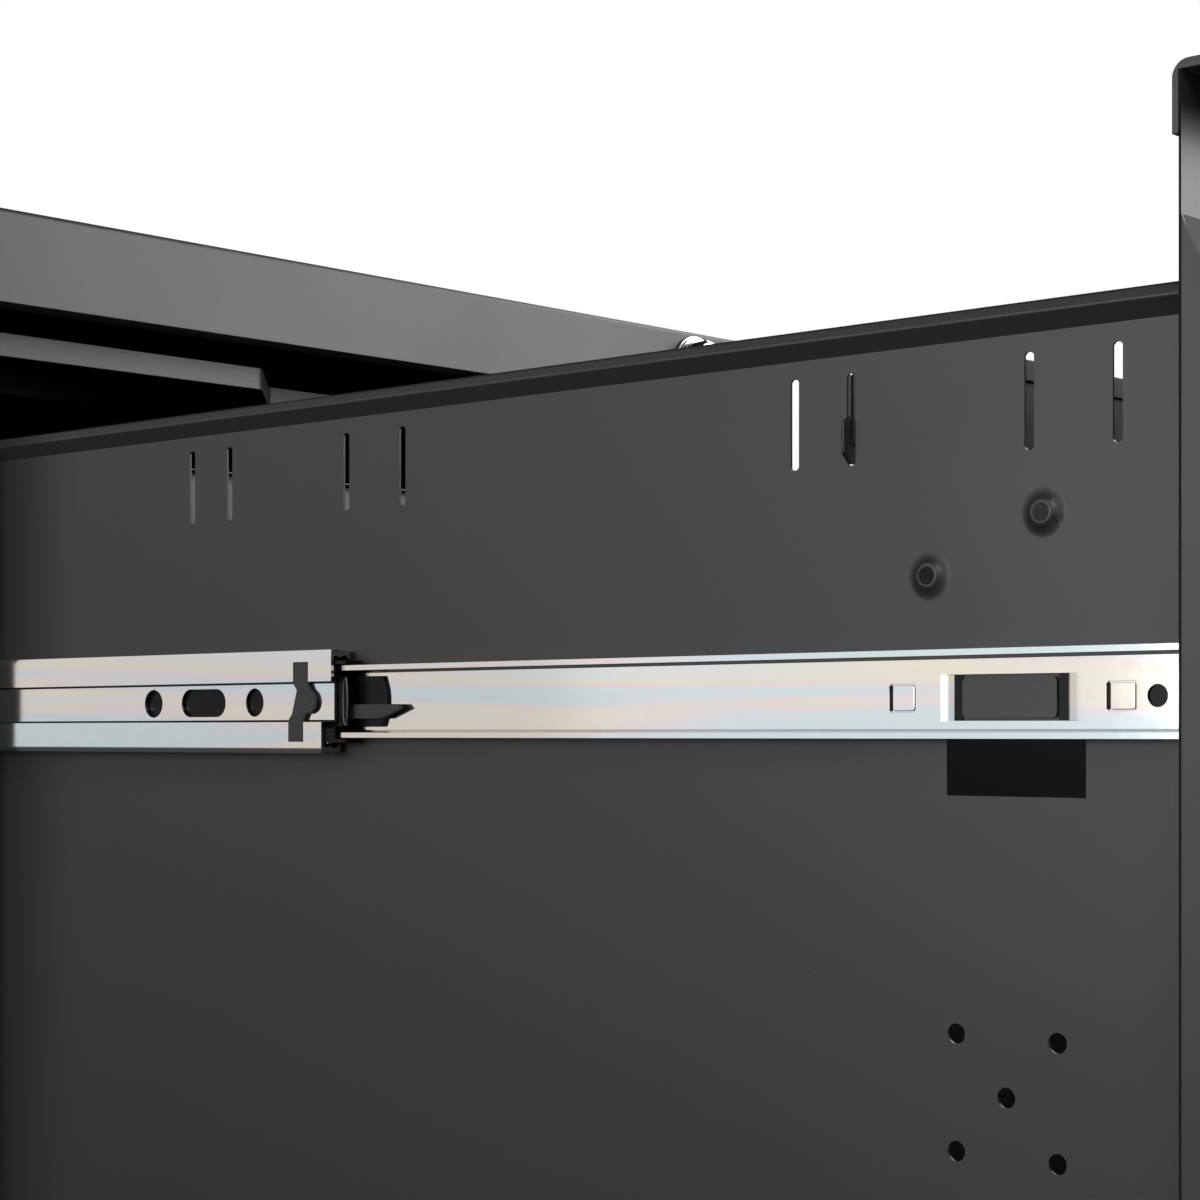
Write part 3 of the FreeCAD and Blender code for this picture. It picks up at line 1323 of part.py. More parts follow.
os.makedirs("parts", exist_ok=True)
for node in nodes:
    node.Shape.exportStep(f"parts/{node.Label}.step")
    box = node.Shape.BoundBox
    print(f"{node.Label}: {len(node.Shape.Solids)} solids, {node.Shape.Volume / 1000:.1f} cm3, "
          f"{box.XMin:.1f}..{box.XMax:.1f}, {box.YMin:.1f}..{box.YMax:.1f}, {box.ZMin:.1f}..{box.ZMax:.1f}")
print(len(nodes), "nodes")
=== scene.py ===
import json
import math

import bpy
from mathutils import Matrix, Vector


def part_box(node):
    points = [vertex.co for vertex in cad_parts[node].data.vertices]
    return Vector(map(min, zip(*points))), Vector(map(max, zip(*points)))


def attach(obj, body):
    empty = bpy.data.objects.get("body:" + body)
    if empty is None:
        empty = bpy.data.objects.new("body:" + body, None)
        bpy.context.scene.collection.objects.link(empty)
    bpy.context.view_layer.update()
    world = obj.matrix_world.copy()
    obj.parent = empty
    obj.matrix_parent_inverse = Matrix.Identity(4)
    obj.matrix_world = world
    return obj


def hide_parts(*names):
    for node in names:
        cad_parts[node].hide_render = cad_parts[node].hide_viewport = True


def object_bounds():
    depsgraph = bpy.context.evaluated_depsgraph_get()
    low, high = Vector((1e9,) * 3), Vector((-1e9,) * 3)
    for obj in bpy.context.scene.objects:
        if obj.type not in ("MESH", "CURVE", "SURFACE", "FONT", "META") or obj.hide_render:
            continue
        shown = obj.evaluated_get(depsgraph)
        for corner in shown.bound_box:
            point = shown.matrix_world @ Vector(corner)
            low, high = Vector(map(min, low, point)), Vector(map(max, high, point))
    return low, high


# Two-drawer steel filing cabinet with its upper drawer out, seen close up from the front left.
# Lengths are in metres and angles in degrees, and colours are sRGB hex.

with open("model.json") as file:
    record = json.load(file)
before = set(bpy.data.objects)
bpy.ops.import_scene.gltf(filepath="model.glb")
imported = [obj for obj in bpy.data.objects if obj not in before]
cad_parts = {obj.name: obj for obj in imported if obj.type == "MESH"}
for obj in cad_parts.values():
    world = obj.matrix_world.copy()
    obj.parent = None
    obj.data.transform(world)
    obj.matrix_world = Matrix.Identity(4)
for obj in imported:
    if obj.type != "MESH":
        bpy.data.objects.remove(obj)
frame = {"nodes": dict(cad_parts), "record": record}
nodes = frame["nodes"]
cadLow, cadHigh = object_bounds()
record = frame["record"]
slotOf = {part["node"]: part["material_slot"] for part in record["subparts"]}
bodyOf = {name: body for body, names in record["behaviour"]["bodies"].items() for name in names}
ballNames = [name for name in nodes if name.endswith("_balls")]
solidNames = [name for name in nodes if name not in ballNames]
drawers = ("upper", "lower")
hands = {"left": -1, "right": 1}
print("cabinet loaded:", len(nodes), "pieces")


def linear(hexColour):
    # sRGB hex to the linear colour that the shaders want
    channels = [int(hexColour[i:i + 2], 16) / 255 for i in (1, 3, 5)]
    return [c / 12.92 if c <= 0.04045 else ((c + 0.055) / 1.055) ** 2.4 for c in channels] + [1.0]


def addNode(tree, kind, settings=None, links=None):
    # settings: name or socket -> value; links: socket -> output socket
    node = tree.nodes.new("ShaderNode" + kind)
    for name, value in (settings or {}).items():
        if isinstance(name, str) and hasattr(node, name):
            setattr(node, name, value)
        else:
            node.inputs[name].default_value = value
    for name, output in (links or {}).items():
        tree.links.new(node.inputs[name], output)
    return node


def newMaterial(name):
    material = bpy.data.materials.new(name)
    material.use_nodes = True
    tree = material.node_tree
    shader = tree.nodes["Principled BSDF"]
    return material, tree, shader


def fillRamp(ramp, stops):
    # stops: (position, hex colour) pairs, lowest first
    band = ramp.color_ramp
    while len(band.elements) < len(stops):
        band.elements.new(0.5)
    for element, (position, tone) in zip(band.elements, stops):
        element.position = position
        element.color = linear(tone)


# Polyester powder coat, sprayed and baked: black with a soft sheen, a slight orange peel and a fine grain that
# sparkles here and there. The real grain is finer, and it is drawn at 0.7 mm so that it shows.
powderCoat = {"colour": "#2f2f30", "pale": "#343435", "fleck": "#4b4b4c", "grain": 0.0007, "peel": 0.004,
              "cloudsPerMetre": 11.0, "roughness": 0.44, "spread": 0.03, "bump": 0.22, "depth": 0.0001}
# The file bar's tabs are coloured near black from this far out.
outerTabBlack = {"colour": "#0f0f10", "from": 0.2236}


def makePowderCoat(name, blackTabs=False):
    material, tree, shader = newMaterial(name)
    place = addNode(tree, "TexCoord")
    grain = addNode(tree, "TexNoise", {"Scale": 1 / powderCoat["grain"], "Detail": 2.0, "Roughness": 0.6},
                    {"Vector": place.outputs["Object"]})
    peel = addNode(tree, "TexNoise", {"Scale": 1 / powderCoat["peel"], "Detail": 1.0},
                   {"Vector": place.outputs["Object"]})
    cloud = addNode(tree, "TexNoise", {"Scale": powderCoat["cloudsPerMetre"], "Detail": 2.0},
                    {"Vector": place.outputs["Object"]})
    tone = addNode(tree, "ValToRGB", None, {"Fac": grain.outputs["Fac"]})
    fillRamp(tone, [(0.3, powderCoat["colour"]), (0.68, powderCoat["pale"]), (0.78, powderCoat["fleck"])])
    shade = tone.outputs["Color"]
    if blackTabs:
        axes = addNode(tree, "SeparateXYZ", None, {"Vector": place.outputs["Object"]})
        outward = addNode(tree, "Math", {"operation": "ABSOLUTE"}, {0: axes.outputs["X"]})
        outboard = addNode(tree, "Math", {"operation": "GREATER_THAN", 1: outerTabBlack["from"]},
                      {0: outward.outputs[0]})
        mixed = addNode(tree, "Mix", {"data_type": "RGBA", 7: linear(outerTabBlack["colour"])},
                        {"Factor": outboard.outputs[0], 6: shade})
        shade = mixed.outputs[2]
    rough = addNode(tree, "MapRange", {"To Min": powderCoat["roughness"] - powderCoat["spread"],
                                       "To Max": powderCoat["roughness"] + powderCoat["spread"]},
                    {"Value": cloud.outputs["Fac"]})
    height = addNode(tree, "Math", {"operation": "MULTIPLY_ADD", 1: 0.5},
                     {0: peel.outputs["Fac"], 2: grain.outputs["Fac"]})
    bump = addNode(tree, "Bump", {"Strength": powderCoat["bump"], "Distance": powderCoat["depth"]},
                   {"Height": height.outputs[0]})
    tree.links.new(shader.inputs["Base Color"], shade)
    tree.links.new(shader.inputs["Roughness"], rough.outputs["Result"])
    tree.links.new(shader.inputs["Normal"], bump.outputs["Normal"])
    return material


# Bright zinc under a clear chromate film, on rolled strip: silver and nearly a mirror, with long pastel stains
# along the strip. "along" and "across" are stains per metre, so each is about 14 mm wide and 0.4 m long.
zincPlate = {"silver": "#c6c8c9", "yellow": "#cfc8bb", "pink": "#ccc3c3", "cyan": "#bbc7c9", "blue": "#c0c6ca",
             "roughness": 0.1, "smoother": 0.03, "duller": 0.04, "hazePerMetre": 260.0,
             "along": 2.6, "across": 70.0, "shift": (5.08, 2.32, 14.19)}


def makeZincPlate():
    material, tree, shader = newMaterial("clearZincPlate")
    place = addNode(tree, "TexCoord")
    stretch = addNode(tree, "Mapping", {"Scale": (zincPlate["across"], zincPlate["along"], zincPlate["across"]),
                                        "Location": zincPlate["shift"]},
                      {"Vector": place.outputs["Object"]})
    stain = addNode(tree, "TexNoise", {"Scale": 1.0, "Detail": 2.0, "Distortion": 0.5},
                    {"Vector": stretch.outputs["Vector"]})
    film = addNode(tree, "ValToRGB", None, {"Fac": stain.outputs["Fac"]})
    fillRamp(film, [(0.3, zincPlate["silver"]), (0.4, zincPlate["cyan"]), (0.47, zincPlate["blue"]),
                    (0.52, zincPlate["pink"]), (0.57, zincPlate["yellow"]), (0.66, zincPlate["silver"])])
    haze = addNode(tree, "TexNoise", {"Scale": zincPlate["hazePerMetre"], "Detail": 3.0},
                   {"Vector": place.outputs["Object"]})
    rough = addNode(tree, "MapRange", {"To Min": zincPlate["roughness"] - zincPlate["smoother"],
                                       "To Max": zincPlate["roughness"] + zincPlate["duller"]},
                    {"Value": haze.outputs["Fac"]})
    shader.inputs["Metallic"].default_value = 1.0
    tree.links.new(shader.inputs["Base Color"], film.outputs["Color"])
    tree.links.new(shader.inputs["Roughness"], rough.outputs["Result"])
    return material


# Moulded nylon and rubber: an even black with the faint grain that the mould leaves.
mouldGrain = {"bump": 0.12, "depth": 0.0001, "dark": 0.35, "light": 0.7}
# black nylon of the cages and the lock bar's guides: satin, near black in the shade
blackNylon = {"colour": "#0d0d0e", "pale": "#141416", "roughness": 0.38, "grain": 0.0012, "shine": 0.14}
# filled nylon of the stops in the middle members: dull dark grey
stopNylon = {"colour": "#2c2c2e", "pale": "#3a3a3c", "roughness": 0.6, "grain": 0.0009, "shine": 0.5}
# nylon of the release levers: black with a plain half-matt face
leverNylon = {"colour": "#1d1e20", "pale": "#2a2b2d", "roughness": 0.5, "grain": 0.0016, "shine": 0.5}
# nylon of the lever mounts: smooth and very dark, with a cold tint in its colour that is a painted sheen; on the
# plates at the window's ends and in the front hole the same colour is painted shade
mountNylon = {"colour": "#04090b", "pale": "#0a1216", "roughness": 0.3, "grain": 0.004, "shine": 0.13}
# nylon of the cage lips: smooth, with a bright glint along the edge
lipNylon = {"colour": "#1d1e20", "pale": "#26272a", "roughness": 0.25, "grain": 0.004, "shine": 0.7}
# rubber of the feet: matt black
footRubber = {"colour": "#151515", "pale": "#202020", "roughness": 0.7, "grain": 0.0012, "shine": 0.4}


def makeMoulded(name, finish):
    material, tree, shader = newMaterial(name)
    place = addNode(tree, "TexCoord")
    grain = addNode(tree, "TexNoise", {"Scale": 1 / finish["grain"], "Detail": 2.0},
                    {"Vector": place.outputs["Object"]})
    tone = addNode(tree, "ValToRGB", None, {"Fac": grain.outputs["Fac"]})
    fillRamp(tone, [(mouldGrain["dark"], finish["colour"]), (mouldGrain["light"], finish["pale"])])
    bump = addNode(tree, "Bump", {"Strength": mouldGrain["bump"], "Distance": mouldGrain["depth"]},
                   {"Height": grain.outputs["Fac"]})
    shader.inputs["Roughness"].default_value = finish["roughness"]
    shader.inputs["Specular IOR Level"].default_value = finish["shine"]
    tree.links.new(shader.inputs["Base Color"], tone.outputs["Color"])
    tree.links.new(shader.inputs["Normal"], bump.outputs["Normal"])
    return material


# Polished metals, each with a faint haze that makes its gloss a little uneven.
polish = {"hazePerMetre": 180.0, "clear": 0.8, "dull": 1.3, "dark": 0.35, "light": 0.7}
# chrome plate on the lock: a clean bright mirror
lockChrome = {"colour": "#d8dadc", "roughness": 0.09}
# turned brass of the key plug: warm and a little worn, with specks of two tones
plugBrass = {"colour": "#b3934f", "worn": "#cfb472", "roughness": 0.28, "specks": 0.0006}
# hardened steel of the balls: a small sharp highlight on each
ballSteel = {"colour": "#cfd2d4", "roughness": 0.06}


def makePolished(name, finish, specks=None):
    material, tree, shader = newMaterial(name)
    place = addNode(tree, "TexCoord")
    haze = addNode(tree, "TexNoise", {"Scale": polish["hazePerMetre"], "Detail": 2.0},
                   {"Vector": place.outputs["Object"]})
    rough = addNode(tree, "MapRange", {"To Min": finish["roughness"] * polish["clear"],
                                       "To Max": finish["roughness"] * polish["dull"]},
                    {"Value": haze.outputs["Fac"]})
    shader.inputs["Metallic"].default_value = 1.0
    shader.inputs["Base Color"].default_value = linear(finish["colour"])
    tree.links.new(shader.inputs["Roughness"], rough.outputs["Result"])
    if specks:
        wear = addNode(tree, "TexNoise", {"Scale": 1 / specks, "Detail": 2.0},
                       {"Vector": place.outputs["Object"]})
        tone = addNode(tree, "ValToRGB", None, {"Fac": wear.outputs["Fac"]})
        fillRamp(tone, [(polish["dark"], finish["colour"]), (polish["light"], finish["worn"])])
        tree.links.new(shader.inputs["Base Color"], tone.outputs["Color"])
    return material


blackCoat = makePowderCoat("blackPowderCoat")
finishes = {
    "black_powder_coat": blackCoat,
    "zinc_plate": makeZincPlate(),
    "black_plastic": makeMoulded("blackNylon", blackNylon),
    "lock_chrome": makePolished("lockChrome", lockChrome),
    "brass": makePolished("plugBrass", plugBrass, plugBrass["specks"]),
    "foot_plastic": makeMoulded("footRubber", footRubber),
    "ball_steel": makePolished("ballSteel", ballSteel),
}
# pieces that differ from the finish of their slot
ownFinish = {
    "slide_stops": makeMoulded("stopNylon", stopNylon),
    "release_lever": makeMoulded("leverNylon", leverNylon),
    "lever_mounts": makeMoulded("mountNylon", mountNylon),
    "cage_lip": makeMoulded("lipNylon", lipNylon),
    "file_bar": makePowderCoat("dippedPowderCoat", blackTabs=True),
}
print("finishes mixed")


def finishOf(name):
    for ending, finish in ownFinish.items():
        if ending in name:
            return finish
    return finishes[slotOf[name]]


def pick(piece):
    # makes one piece the only selected and the active one
    bpy.ops.object.select_all(action="DESELECT")
    piece.select_set(True)
    bpy.context.view_layer.objects.active = piece


def shapeWith(piece, kind, settings):
    # adds one modifier and applies it
    pick(piece)
    bpy.ops.object.modifier_add(type=kind)
    modifier = piece.modifiers[-1]
    for name, value in settings.items():
        setattr(modifier, name, value)
    bpy.ops.object.modifier_apply(modifier=modifier.name)


def selectWhere(piece, kind, test):
    # goes into edit mode with only the verts, edges or faces selected that pass the test
    bpy.ops.object.mode_set(mode="EDIT")
    bpy.ops.mesh.select_mode(type=kind)
    bpy.ops.mesh.select_all(action="DESELECT")
    bpy.ops.object.mode_set(mode="OBJECT")
    items = {"VERT": piece.data.vertices, "EDGE": piece.data.edges, "FACE": piece.data.polygons}[kind]
    for item in items:
        item.select = test(item)
    bpy.ops.object.mode_set(mode="EDIT")


# bends up to this angle are shaded smooth; the bead along a drawer's side stays sharp
smoothUpTo = {"drawer_side": 13, "": 26}


def settle(piece, finish, body, crease=smoothUpTo[""]):
    # smooth shading that keeps flats flat, then the finish and the body that it rides on
    pick(piece)
    bpy.ops.object.shade_smooth_by_angle(angle=math.radians(crease))
    shapeWith(piece, "WEIGHTED_NORMAL", {"keep_sharp": True})
    piece.data.materials.clear()
    piece.data.materials.append(finish)
    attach(piece, body)


# points closer than "gap" become one, and faces flatter than "flat" become one
merging = {"gap": 0.00001, "flat": 0.3}


def copyOf(name, suffix):
    # the CAD piece's own shape, merged into clean faces
    pick(nodes[name])
    bpy.ops.object.duplicate()
    piece = bpy.context.object
    for key in list(piece.keys()):
        del piece[key]
    piece.parent = None
    piece.name = name + suffix
    bpy.ops.object.mode_set(mode="EDIT")
    bpy.ops.mesh.select_all(action="SELECT")
    bpy.ops.mesh.remove_doubles(threshold=merging["gap"])
    bpy.ops.mesh.dissolve_limited(angle_limit=math.radians(merging["flat"]))
    bpy.ops.object.mode_set(mode="OBJECT")
    return piece


# the two pressed dimples in a drawer's side: place and level from the side's low corner, the radii of their
# two rings, and how far each ring is rounded
dimples = {"places": [(0.0483, 0.2495), (0.0854, 0.2339)], "foot": 0.0056, "top": 0.0034, "near": 0.0005,
           "level": 0.0001, "footRound": 0.0016, "topRound": 0.0006, "steps": 4}


def roundDimples(piece, corner):
    for ring, reach in (("foot", dimples["footRound"]), ("top", dimples["topRound"])):
        def onRing(edge):
            spots = [piece.data.vertices[v].co for v in edge.vertices]
            for place, level in dimples["places"]:
                far = [math.hypot(spot.y - corner.y - place, spot.z - corner.z - level) for spot in spots]
                if max(abs(distance - dimples[ring]) for distance in far) < dimples["near"]:
                    return abs(spots[0].x - spots[1].x) < dimples["level"]
            return False
        selectWhere(piece, "EDGE", onRing)
        bpy.ops.mesh.bevel(offset=reach, segments=dimples["steps"], affect="EDGES")
        bpy.ops.object.mode_set(mode="OBJECT")


# the inner pan of a drawer's front is folded, so its upright rear corners are well rounded
panCorner = {"out": 0.238, "near": 0.0003, "radius": 0.0005, "steps": 4}


def roundPan(piece, rear):
    def atCorner(spot):
        return abs(abs(spot.x) - panCorner["out"]) < panCorner["near"] and abs(spot.y - rear) < panCorner["near"]

    selectWhere(piece, "EDGE", lambda edge: all(atCorner(piece.data.vertices[v].co) for v in edge.vertices))
    bpy.ops.mesh.bevel(offset=panCorner["radius"], segments=panCorner["steps"], affect="EDGES")
    bpy.ops.object.mode_set(mode="OBJECT")


# the middle member's web is pressed in with steep steps, so their outer lines lie close to the web
webStep = {"out": 0.009, "near": 0.0006, "steep": 0.77}


def steepenSteps(piece, level):
    selectWhere(piece, "VERT", lambda spot: abs(abs(spot.co.z - level) - webStep["out"]) < webStep["near"])
    bpy.ops.transform.resize(value=(1, 1, webStep["steep"]), center_override=(0, 0, level))
    bpy.ops.object.mode_set(mode="OBJECT")


# how far each kind of piece has its edges broken, and in how many steps; flatter bends than this are left
edgeBreak = {"inner_slide": (0.0005, 3), "middle_slide": (0.0004, 3), "outer_slide": (0.0004, 3),
             "slide_stops": (0.0003, 2), "lever_mounts": (0.0003, 2), "release_lever": (0.0003, 2),
             "cages": (0.0002, 2), "levelling_feet": (0.0006, 3), "lock_": (0.0002, 2), "": (0.00025, 2)}
brokenFrom = 32

for name in solidNames:
    reach, steps = next(ease for key, ease in edgeBreak.items() if key in name)
    crease = next(angle for key, angle in smoothUpTo.items() if key in name)
    piece = copyOf(name, "_eased")
    if "drawer_side" in name:
        roundDimples(piece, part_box(name)[0])
    if "front_backing" in name:
        roundPan(piece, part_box(name)[1].y)
    if "middle_slide" in name:
        steepenSteps(piece, (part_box(name)[0].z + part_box(name)[1].z) / 2)
    shapeWith(piece, "BEVEL", {"width": reach, "segments": steps, "limit_method": "ANGLE",
                               "angle_limit": math.radians(brokenFrom), "use_clamp_overlap": True})
    settle(piece, finishOf(name), bodyOf[name], crease)
    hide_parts(name)
print("edges broken on", len(solidNames), "pieces")


def joined(pieces, name):
    # several pieces made into one
    bpy.ops.object.select_all(action="DESELECT")
    for piece in pieces:
        piece.select_set(True)
    bpy.context.view_layer.objects.active = pieces[0]
    bpy.ops.object.join()
    bpy.context.object.name = name
    return bpy.context.object


def scatter(first, spots, name):
    # one copy of a modelled piece at each spot, all joined into one object
    copies = []
    for spot in spots:
        copy = first.copy()
        copy.data = first.data.copy()
        bpy.context.scene.collection.objects.link(copy)
        copy.location = spot
        copies.append(copy)
    bpy.data.objects.remove(first)
    row = joined(copies, name)
    bpy.ops.object.transform_apply(location=True, rotation=True, scale=True)
    return row


# round balls at the centres of the CAD's faceted ones
ball = {"radius": 0.002, "rings": 2}
for name in ballNames:
    pick(copyOf(name, "_seed"))
    bpy.ops.object.mode_set(mode="EDIT")
    bpy.ops.mesh.select_all(action="SELECT")
    bpy.ops.mesh.separate(type="LOOSE")
    bpy.ops.object.mode_set(mode="OBJECT")
    centres = []
    for seed in list(bpy.context.selected_objects):
        corners = [Vector(corner) for corner in seed.bound_box]
        centres.append(sum(corners, Vector()) / len(corners))
        bpy.data.objects.remove(seed)
    bpy.ops.object.select_all(action="DESELECT")
    bpy.ops.mesh.primitive_cube_add(size=2 * ball["radius"])
    first = bpy.context.object
    shapeWith(first, "SUBSURF", {"subdivision_type": "SIMPLE", "levels": ball["rings"],
                                 "render_levels": ball["rings"]})
    shapeWith(first, "CAST", {"cast_type": "SPHERE", "factor": 1.0, "use_radius_as_size": False,
                              "size": ball["radius"]})
    row = scatter(first, centres, name + "_turned")
    settle(row, finishes["ball_steel"], bodyOf[name])
    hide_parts(name)
print("balls in")

# bowed wire-thin lips on the noses of the inner cages
cageLip = {"half": 0.0082, "bow": 0.0011, "setback": 0.0016, "web": 0.2309, "wire": 0.00028, "steps": 36,
           "round": 2}
for drawer in drawers:
    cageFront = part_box(drawer + "_inner_cages")[0].y
    slideLow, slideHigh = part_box(drawer + "_inner_slide_left")
    for side, hand in hands.items():
        bpy.ops.object.select_all(action="DESELECT")
        bpy.ops.mesh.primitive_circle_add(vertices=cageLip["steps"], radius=cageLip["half"],
                                          rotation=(0, math.pi / 2, 0),
                                          location=(hand * cageLip["web"], cageFront + cageLip["setback"],
                                                    (slideLow.z + slideHigh.z) / 2))
        lip = bpy.context.object
        bpy.ops.object.transform_apply(location=False, rotation=True, scale=False)
        bpy.ops.object.mode_set(mode="EDIT")
        bpy.ops.mesh.select_all(action="SELECT")
        bpy.ops.transform.resize(value=(1, cageLip["bow"] / cageLip["half"], 1))
        bpy.ops.object.mode_set(mode="OBJECT")
        bpy.ops.object.convert(target="CURVE")
        lip = bpy.context.object
        lip.data.bevel_depth = cageLip["wire"]
        lip.data.bevel_resolution = cageLip["round"]
        bpy.ops.object.convert(target="MESH")
        lip = bpy.context.object
        lip.name = drawer + "_cage_lip_" + side
        bpy.ops.object.transform_apply(location=True, rotation=True, scale=True)
        settle(lip, ownFinish["cage_lip"], drawer + "_inner_retainers")

# the drawer's member of each slide has two lanced tabs; the dark plates at the window's ends and in the front
# hole are painted shade, standing in for the shade in the trenches and in the hole.
# Places count from "ahead" before the member's front end, and "drop" is below its middle line
memberMarks = {"ahead": 0.002, "drop": 0.001}
lancedTab = {"places": (0.0234, 0.0934), "wide": 0.0074, "high": 0.0072, "thick": 0.0006, "face": 0.22505,
             "corner": 0.0009, "soft": 0.00025}
windowShadeStrip = {"first": 0.0406, "last": 0.077, "wide": 0.0029, "high": 0.0126, "thick": 0.0005, "face": 0.22415,
               "corner": 0.0004, "soft": 0.00012}
holeShadeStrip = {"place": 0.0132, "wide": 0.0059, "corner": 0.0028}
plateEdge = {"cornerSteps": 5, "softSteps": 3, "softFrom": 0.7}  # softFrom in radians


def block(size, at, corner, soft):
    # a plate with rounded corners and softened edges
    bpy.ops.object.select_all(action="DESELECT")
    bpy.ops.mesh.primitive_cube_add(size=1, location=at)
    piece = bpy.context.object
    piece.scale = size
    bpy.ops.object.transform_apply(location=True, rotation=True, scale=True)

    def crossesPlate(edge):
        start, end = (piece.data.vertices[v].co for v in edge.vertices)
        return abs(start.x - end.x) > 0.5 * size[0]

    selectWhere(piece, "EDGE", crossesPlate)
    bpy.ops.mesh.bevel(offset=corner, segments=plateEdge["cornerSteps"], affect="EDGES")
    bpy.ops.object.mode_set(mode="OBJECT")
    shapeWith(piece, "BEVEL", {"width": soft, "segments": plateEdge["softSteps"], "limit_method": "ANGLE",
                               "angle_limit": plateEdge["softFrom"]})
    return piece


for drawer in drawers:
    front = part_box(drawer + "_inner_slide_left")[0].y - memberMarks["ahead"]
    slideLow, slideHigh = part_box(drawer + "_inner_slide_left")
    level = (slideLow.z + slideHigh.z) / 2 - memberMarks["drop"]
    for side, hand in hands.items():
        tabs, strips = [], []
        for place in lancedTab["places"]:
            tabs.append(block((lancedTab["thick"], lancedTab["wide"], lancedTab["high"]),
                              (hand * lancedTab["face"], front + place, level),
                              lancedTab["corner"], lancedTab["soft"]))
        settle(joined(tabs, drawer + "_lanced_tabs_" + side), finishes["zinc_plate"], drawer + "_drawer")
        # painted shade: near black plates in the trenches at the window's ends and over the front hole
        for place in (windowShadeStrip["first"] + windowShadeStrip["wide"] / 2,
                      windowShadeStrip["last"] - windowShadeStrip["wide"] / 2):
            strips.append(block((windowShadeStrip["thick"], windowShadeStrip["wide"], windowShadeStrip["high"]),
                                (hand * windowShadeStrip["face"], front + place, level),
                                windowShadeStrip["corner"], windowShadeStrip["soft"]))
        strips.append(block((windowShadeStrip["thick"], holeShadeStrip["wide"], holeShadeStrip["wide"]),
                            (hand * windowShadeStrip["face"], front + holeShadeStrip["place"], level),
                            holeShadeStrip["corner"], windowShadeStrip["soft"]))
        settle(joined(strips, drawer + "_window_strips_" + side), ownFinish["lever_mounts"], drawer + "_drawer")
print("lips, tabs and strips in")

# rivets that hold the back panel to the sides' rear flanges
backRivet = {"radius": 0.0032, "height": 0.0011, "steps": 20, "edge": 0.0007, "edgeSteps": 3,
             "dishRim": 0.0004, "dishDepth": 0.0005, "sunk": 0.3,
             "across": 0.247, "low": 0.09, "high": 0.79, "count": 6}
bpy.ops.object.select_all(action="DESELECT")
bpy.ops.mesh.primitive_cylinder_add(vertices=backRivet["steps"], radius=backRivet["radius"],
                                    depth=backRivet["height"])
rivet = bpy.context.object
selectWhere(rivet, "EDGE", lambda edge: all(rivet.data.vertices[v].co.z > 0 for v in edge.vertices))
bpy.ops.mesh.bevel(offset=backRivet["edge"], segments=backRivet["edgeSteps"], affect="EDGES")
selectWhere(rivet, "FACE", lambda face: face.normal.z > 0.99)
bpy.ops.mesh.inset(thickness=backRivet["edge"])
bpy.ops.mesh.inset(thickness=backRivet["dishRim"], depth=-backRivet["dishDepth"])
bpy.ops.object.mode_set(mode="OBJECT")
rivet.rotation_euler = (-math.pi / 2, 0, 0)
bpy.ops.object.transform_apply(location=False, rotation=True, scale=False)
rise = (backRivet["high"] - backRivet["low"]) / (backRivet["count"] - 1)
spots = [(hand * backRivet["across"], cadHigh.y + backRivet["sunk"] * backRivet["height"],
          backRivet["low"] + step * rise)
         for hand in hands.values() for step in range(backRivet["count"])]
rivets = scatter(rivet, spots, "back_rivets")
settle(rivets, blackCoat, "case")
print("rivets in")

# the photograph's camera: level, from the front left
cameraView = {"place": (-0.8064, -0.8841, 0.611), "turn": -47.68, "lens": 75.73, "film": 36.0, "shift": 0.1111,
              "near": 0.01}
lens = bpy.data.cameras.new("camera")
lens.lens = cameraView["lens"]
lens.sensor_width = cameraView["film"]
lens.shift_y = cameraView["shift"]
lens.clip_start = cameraView["near"]
camera = bpy.data.objects.new("camera", lens)
camera.location = cameraView["place"]
camera.rotation_euler = (math.radians(90), 0, math.radians(cameraView["turn"]))
bpy.context.scene.collection.objects.link(camera)
bpy.context.scene.camera = camera

# square soft boxes, all turned to the middle of the cabinet
softBoxes = {
    "frontRight": {"at": (1.9, -2.4, 1.3), "size": 1.6, "watts": 54},
    "left": {"at": (-2.8, 0.4, 0.9), "size": 0.8, "watts": 16},
    "leftWide": {"at": (-3.0, 0.9, 0.9), "size": 2.2, "watts": 4.2},
    "rear": {"at": (2.4, 2.4, 1.4), "size": 1.6, "watts": 30},
    "top": {"at": (1.3, -0.4, 1.9), "size": 1.2, "watts": 21},
    "nearTop": {"at": (-1.4, -1.55, 2.1), "size": 0.8, "watts": 17},
}
litPoint = Vector((0, 0, 0.6))
for name, box in softBoxes.items():
    lamp = bpy.data.lights.new(name, "AREA")
    lamp.shape = "SQUARE"
    lamp.size = box["size"]
    lamp.energy = box["watts"]
    holder = bpy.data.objects.new(name, lamp)
    holder.location = box["at"]
    holder.rotation_euler = (litPoint - Vector(box["at"])).to_track_quat("-Z", "Y").to_euler()
    bpy.context.scene.collection.objects.link(holder)

# matt white floor; "seen" and "glow" are for the camera alone, "thrown" is what lights the cabinet from below
paperFloor = {"size": 30, "seen": "#f4f4f4", "glow": 0.42, "thrown": "#5c5c5c", "roughness": 0.8}
bpy.ops.object.select_all(action="DESELECT")
bpy.ops.mesh.primitive_plane_add(size=paperFloor["size"], location=(0, 0, 0))
floor = bpy.context.object
floor.name = "floor"
floorPaint, floorTree, floorShader = newMaterial("floorPaint")
floorView = addNode(floorTree, "LightPath")
floorTone = addNode(floorTree, "Mix", {"data_type": "RGBA", 6: linear(paperFloor["thrown"]),
                                       7: linear(paperFloor["seen"])},
                    {"Factor": floorView.outputs["Is Camera Ray"]})
floorGlow = addNode(floorTree, "Math", {"operation": "MULTIPLY", 1: paperFloor["glow"]},
                    {0: floorView.outputs["Is Camera Ray"]})
floorTree.links.new(floorShader.inputs["Base Color"], floorTone.outputs[2])
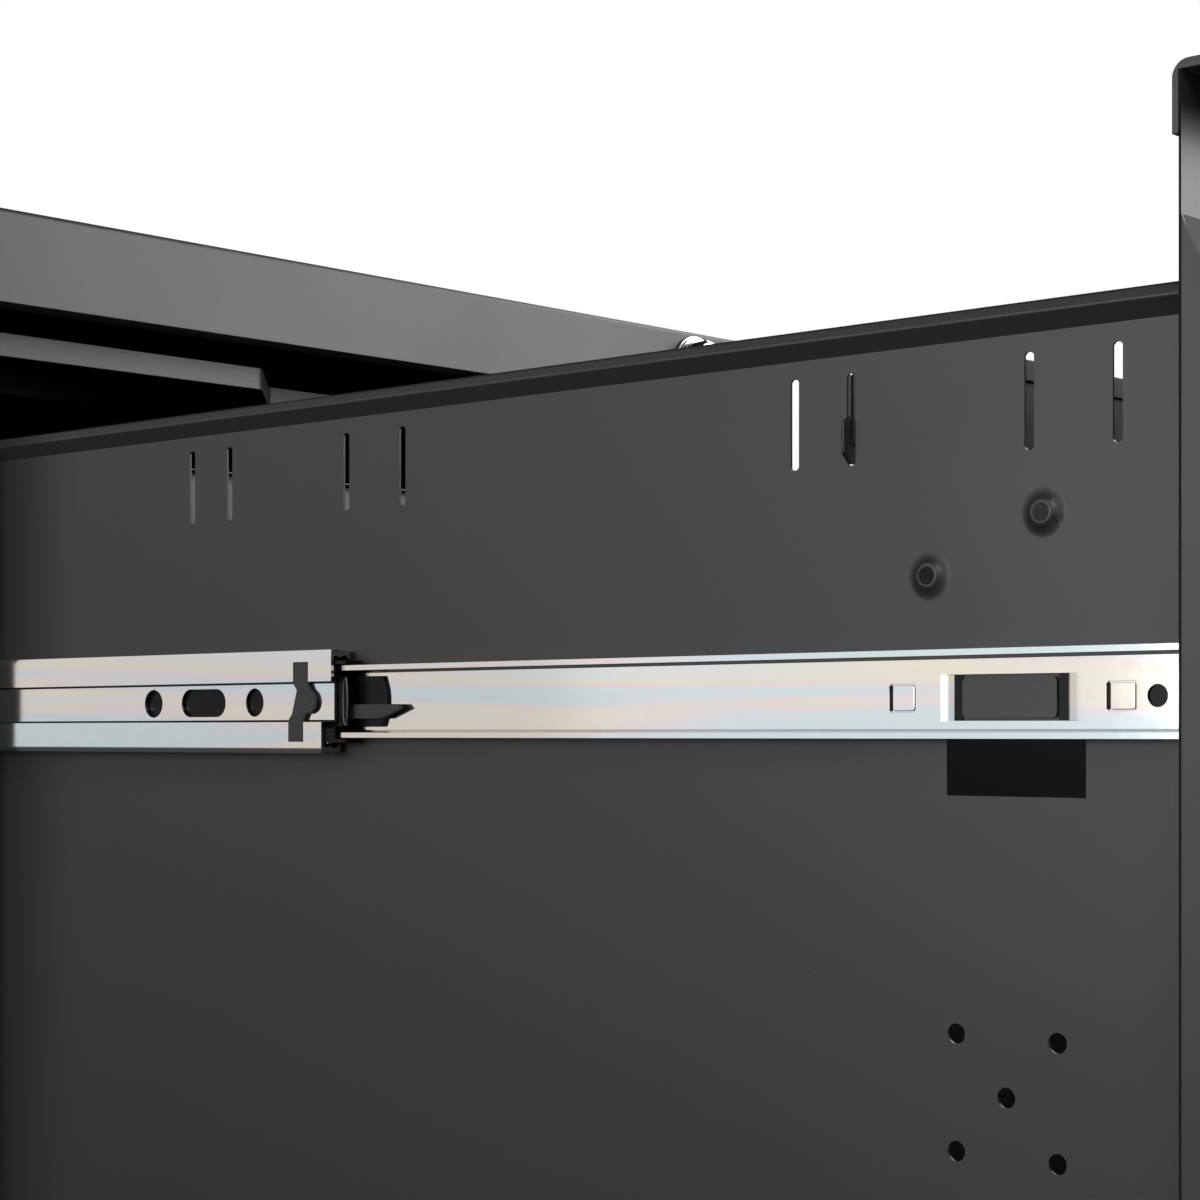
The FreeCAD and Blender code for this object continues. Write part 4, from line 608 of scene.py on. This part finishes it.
floorTree.links.new(floorShader.inputs["Emission Strength"], floorGlow.outputs[0])
floorShader.inputs["Emission Color"].default_value = (1, 1, 1, 1)
floorShader.inputs["Roughness"].default_value = paperFloor["roughness"]
floor.data.materials.append(floorPaint)

# black cloth flags behind and above keep the coat's reflections dark there; the camera doesn't see them
flags = {
    "backFlag": {"at": (0.6, 2.0, 1.2), "size": (3.8, 2.4), "turn": (90, 0, 0)},
    "topFlag": {"at": (-0.05, 0.5, 2.0), "size": (3.1, 3.4), "turn": (0, 0, 0)},
}
flagCloth = {"colour": "#1a1a1a", "roughness": 0.9}
for name, shape in flags.items():
    cloth, clothTree, clothShader = newMaterial(name + "Cloth")
    clothShader.inputs["Base Color"].default_value = linear(flagCloth["colour"])
    clothShader.inputs["Roughness"].default_value = flagCloth["roughness"]
    bpy.ops.object.select_all(action="DESELECT")
    bpy.ops.mesh.primitive_plane_add(size=1, location=shape["at"],
                                     rotation=[math.radians(angle) for angle in shape["turn"]])
    flag = bpy.context.object
    flag.name = name
    flag.scale = (shape["size"][0], shape["size"][1], 1)
    flag.visible_camera = False
    flag.data.materials.append(cloth)

# the world is a faint fill for the cabinet, and white where it is seen, mirrored or looked at through something
room = {"fill": 0.06, "white": 1.0}
world = bpy.data.worlds.new("studio")
bpy.context.scene.world = world
world.use_nodes = True
sky = world.node_tree
rays = addNode(sky, "LightPath")
seen = addNode(sky, "Math", {"operation": "MAXIMUM"}, {0: rays.outputs["Is Camera Ray"],
                                                        1: rays.outputs["Is Glossy Ray"]})
clear = addNode(sky, "Math", {"operation": "MAXIMUM"}, {0: seen.outputs[0],
                                                         1: rays.outputs["Is Transmission Ray"]})
strength = addNode(sky, "MapRange", {"To Min": room["fill"], "To Max": room["white"]},
                   {"Value": clear.outputs[0]})
background = sky.nodes["Background"]
background.inputs["Color"].default_value = (1, 1, 1, 1)
sky.links.new(background.inputs["Strength"], strength.outputs["Result"])

bpy.context.scene.view_settings.view_transform = "Standard"
print("studio ready")
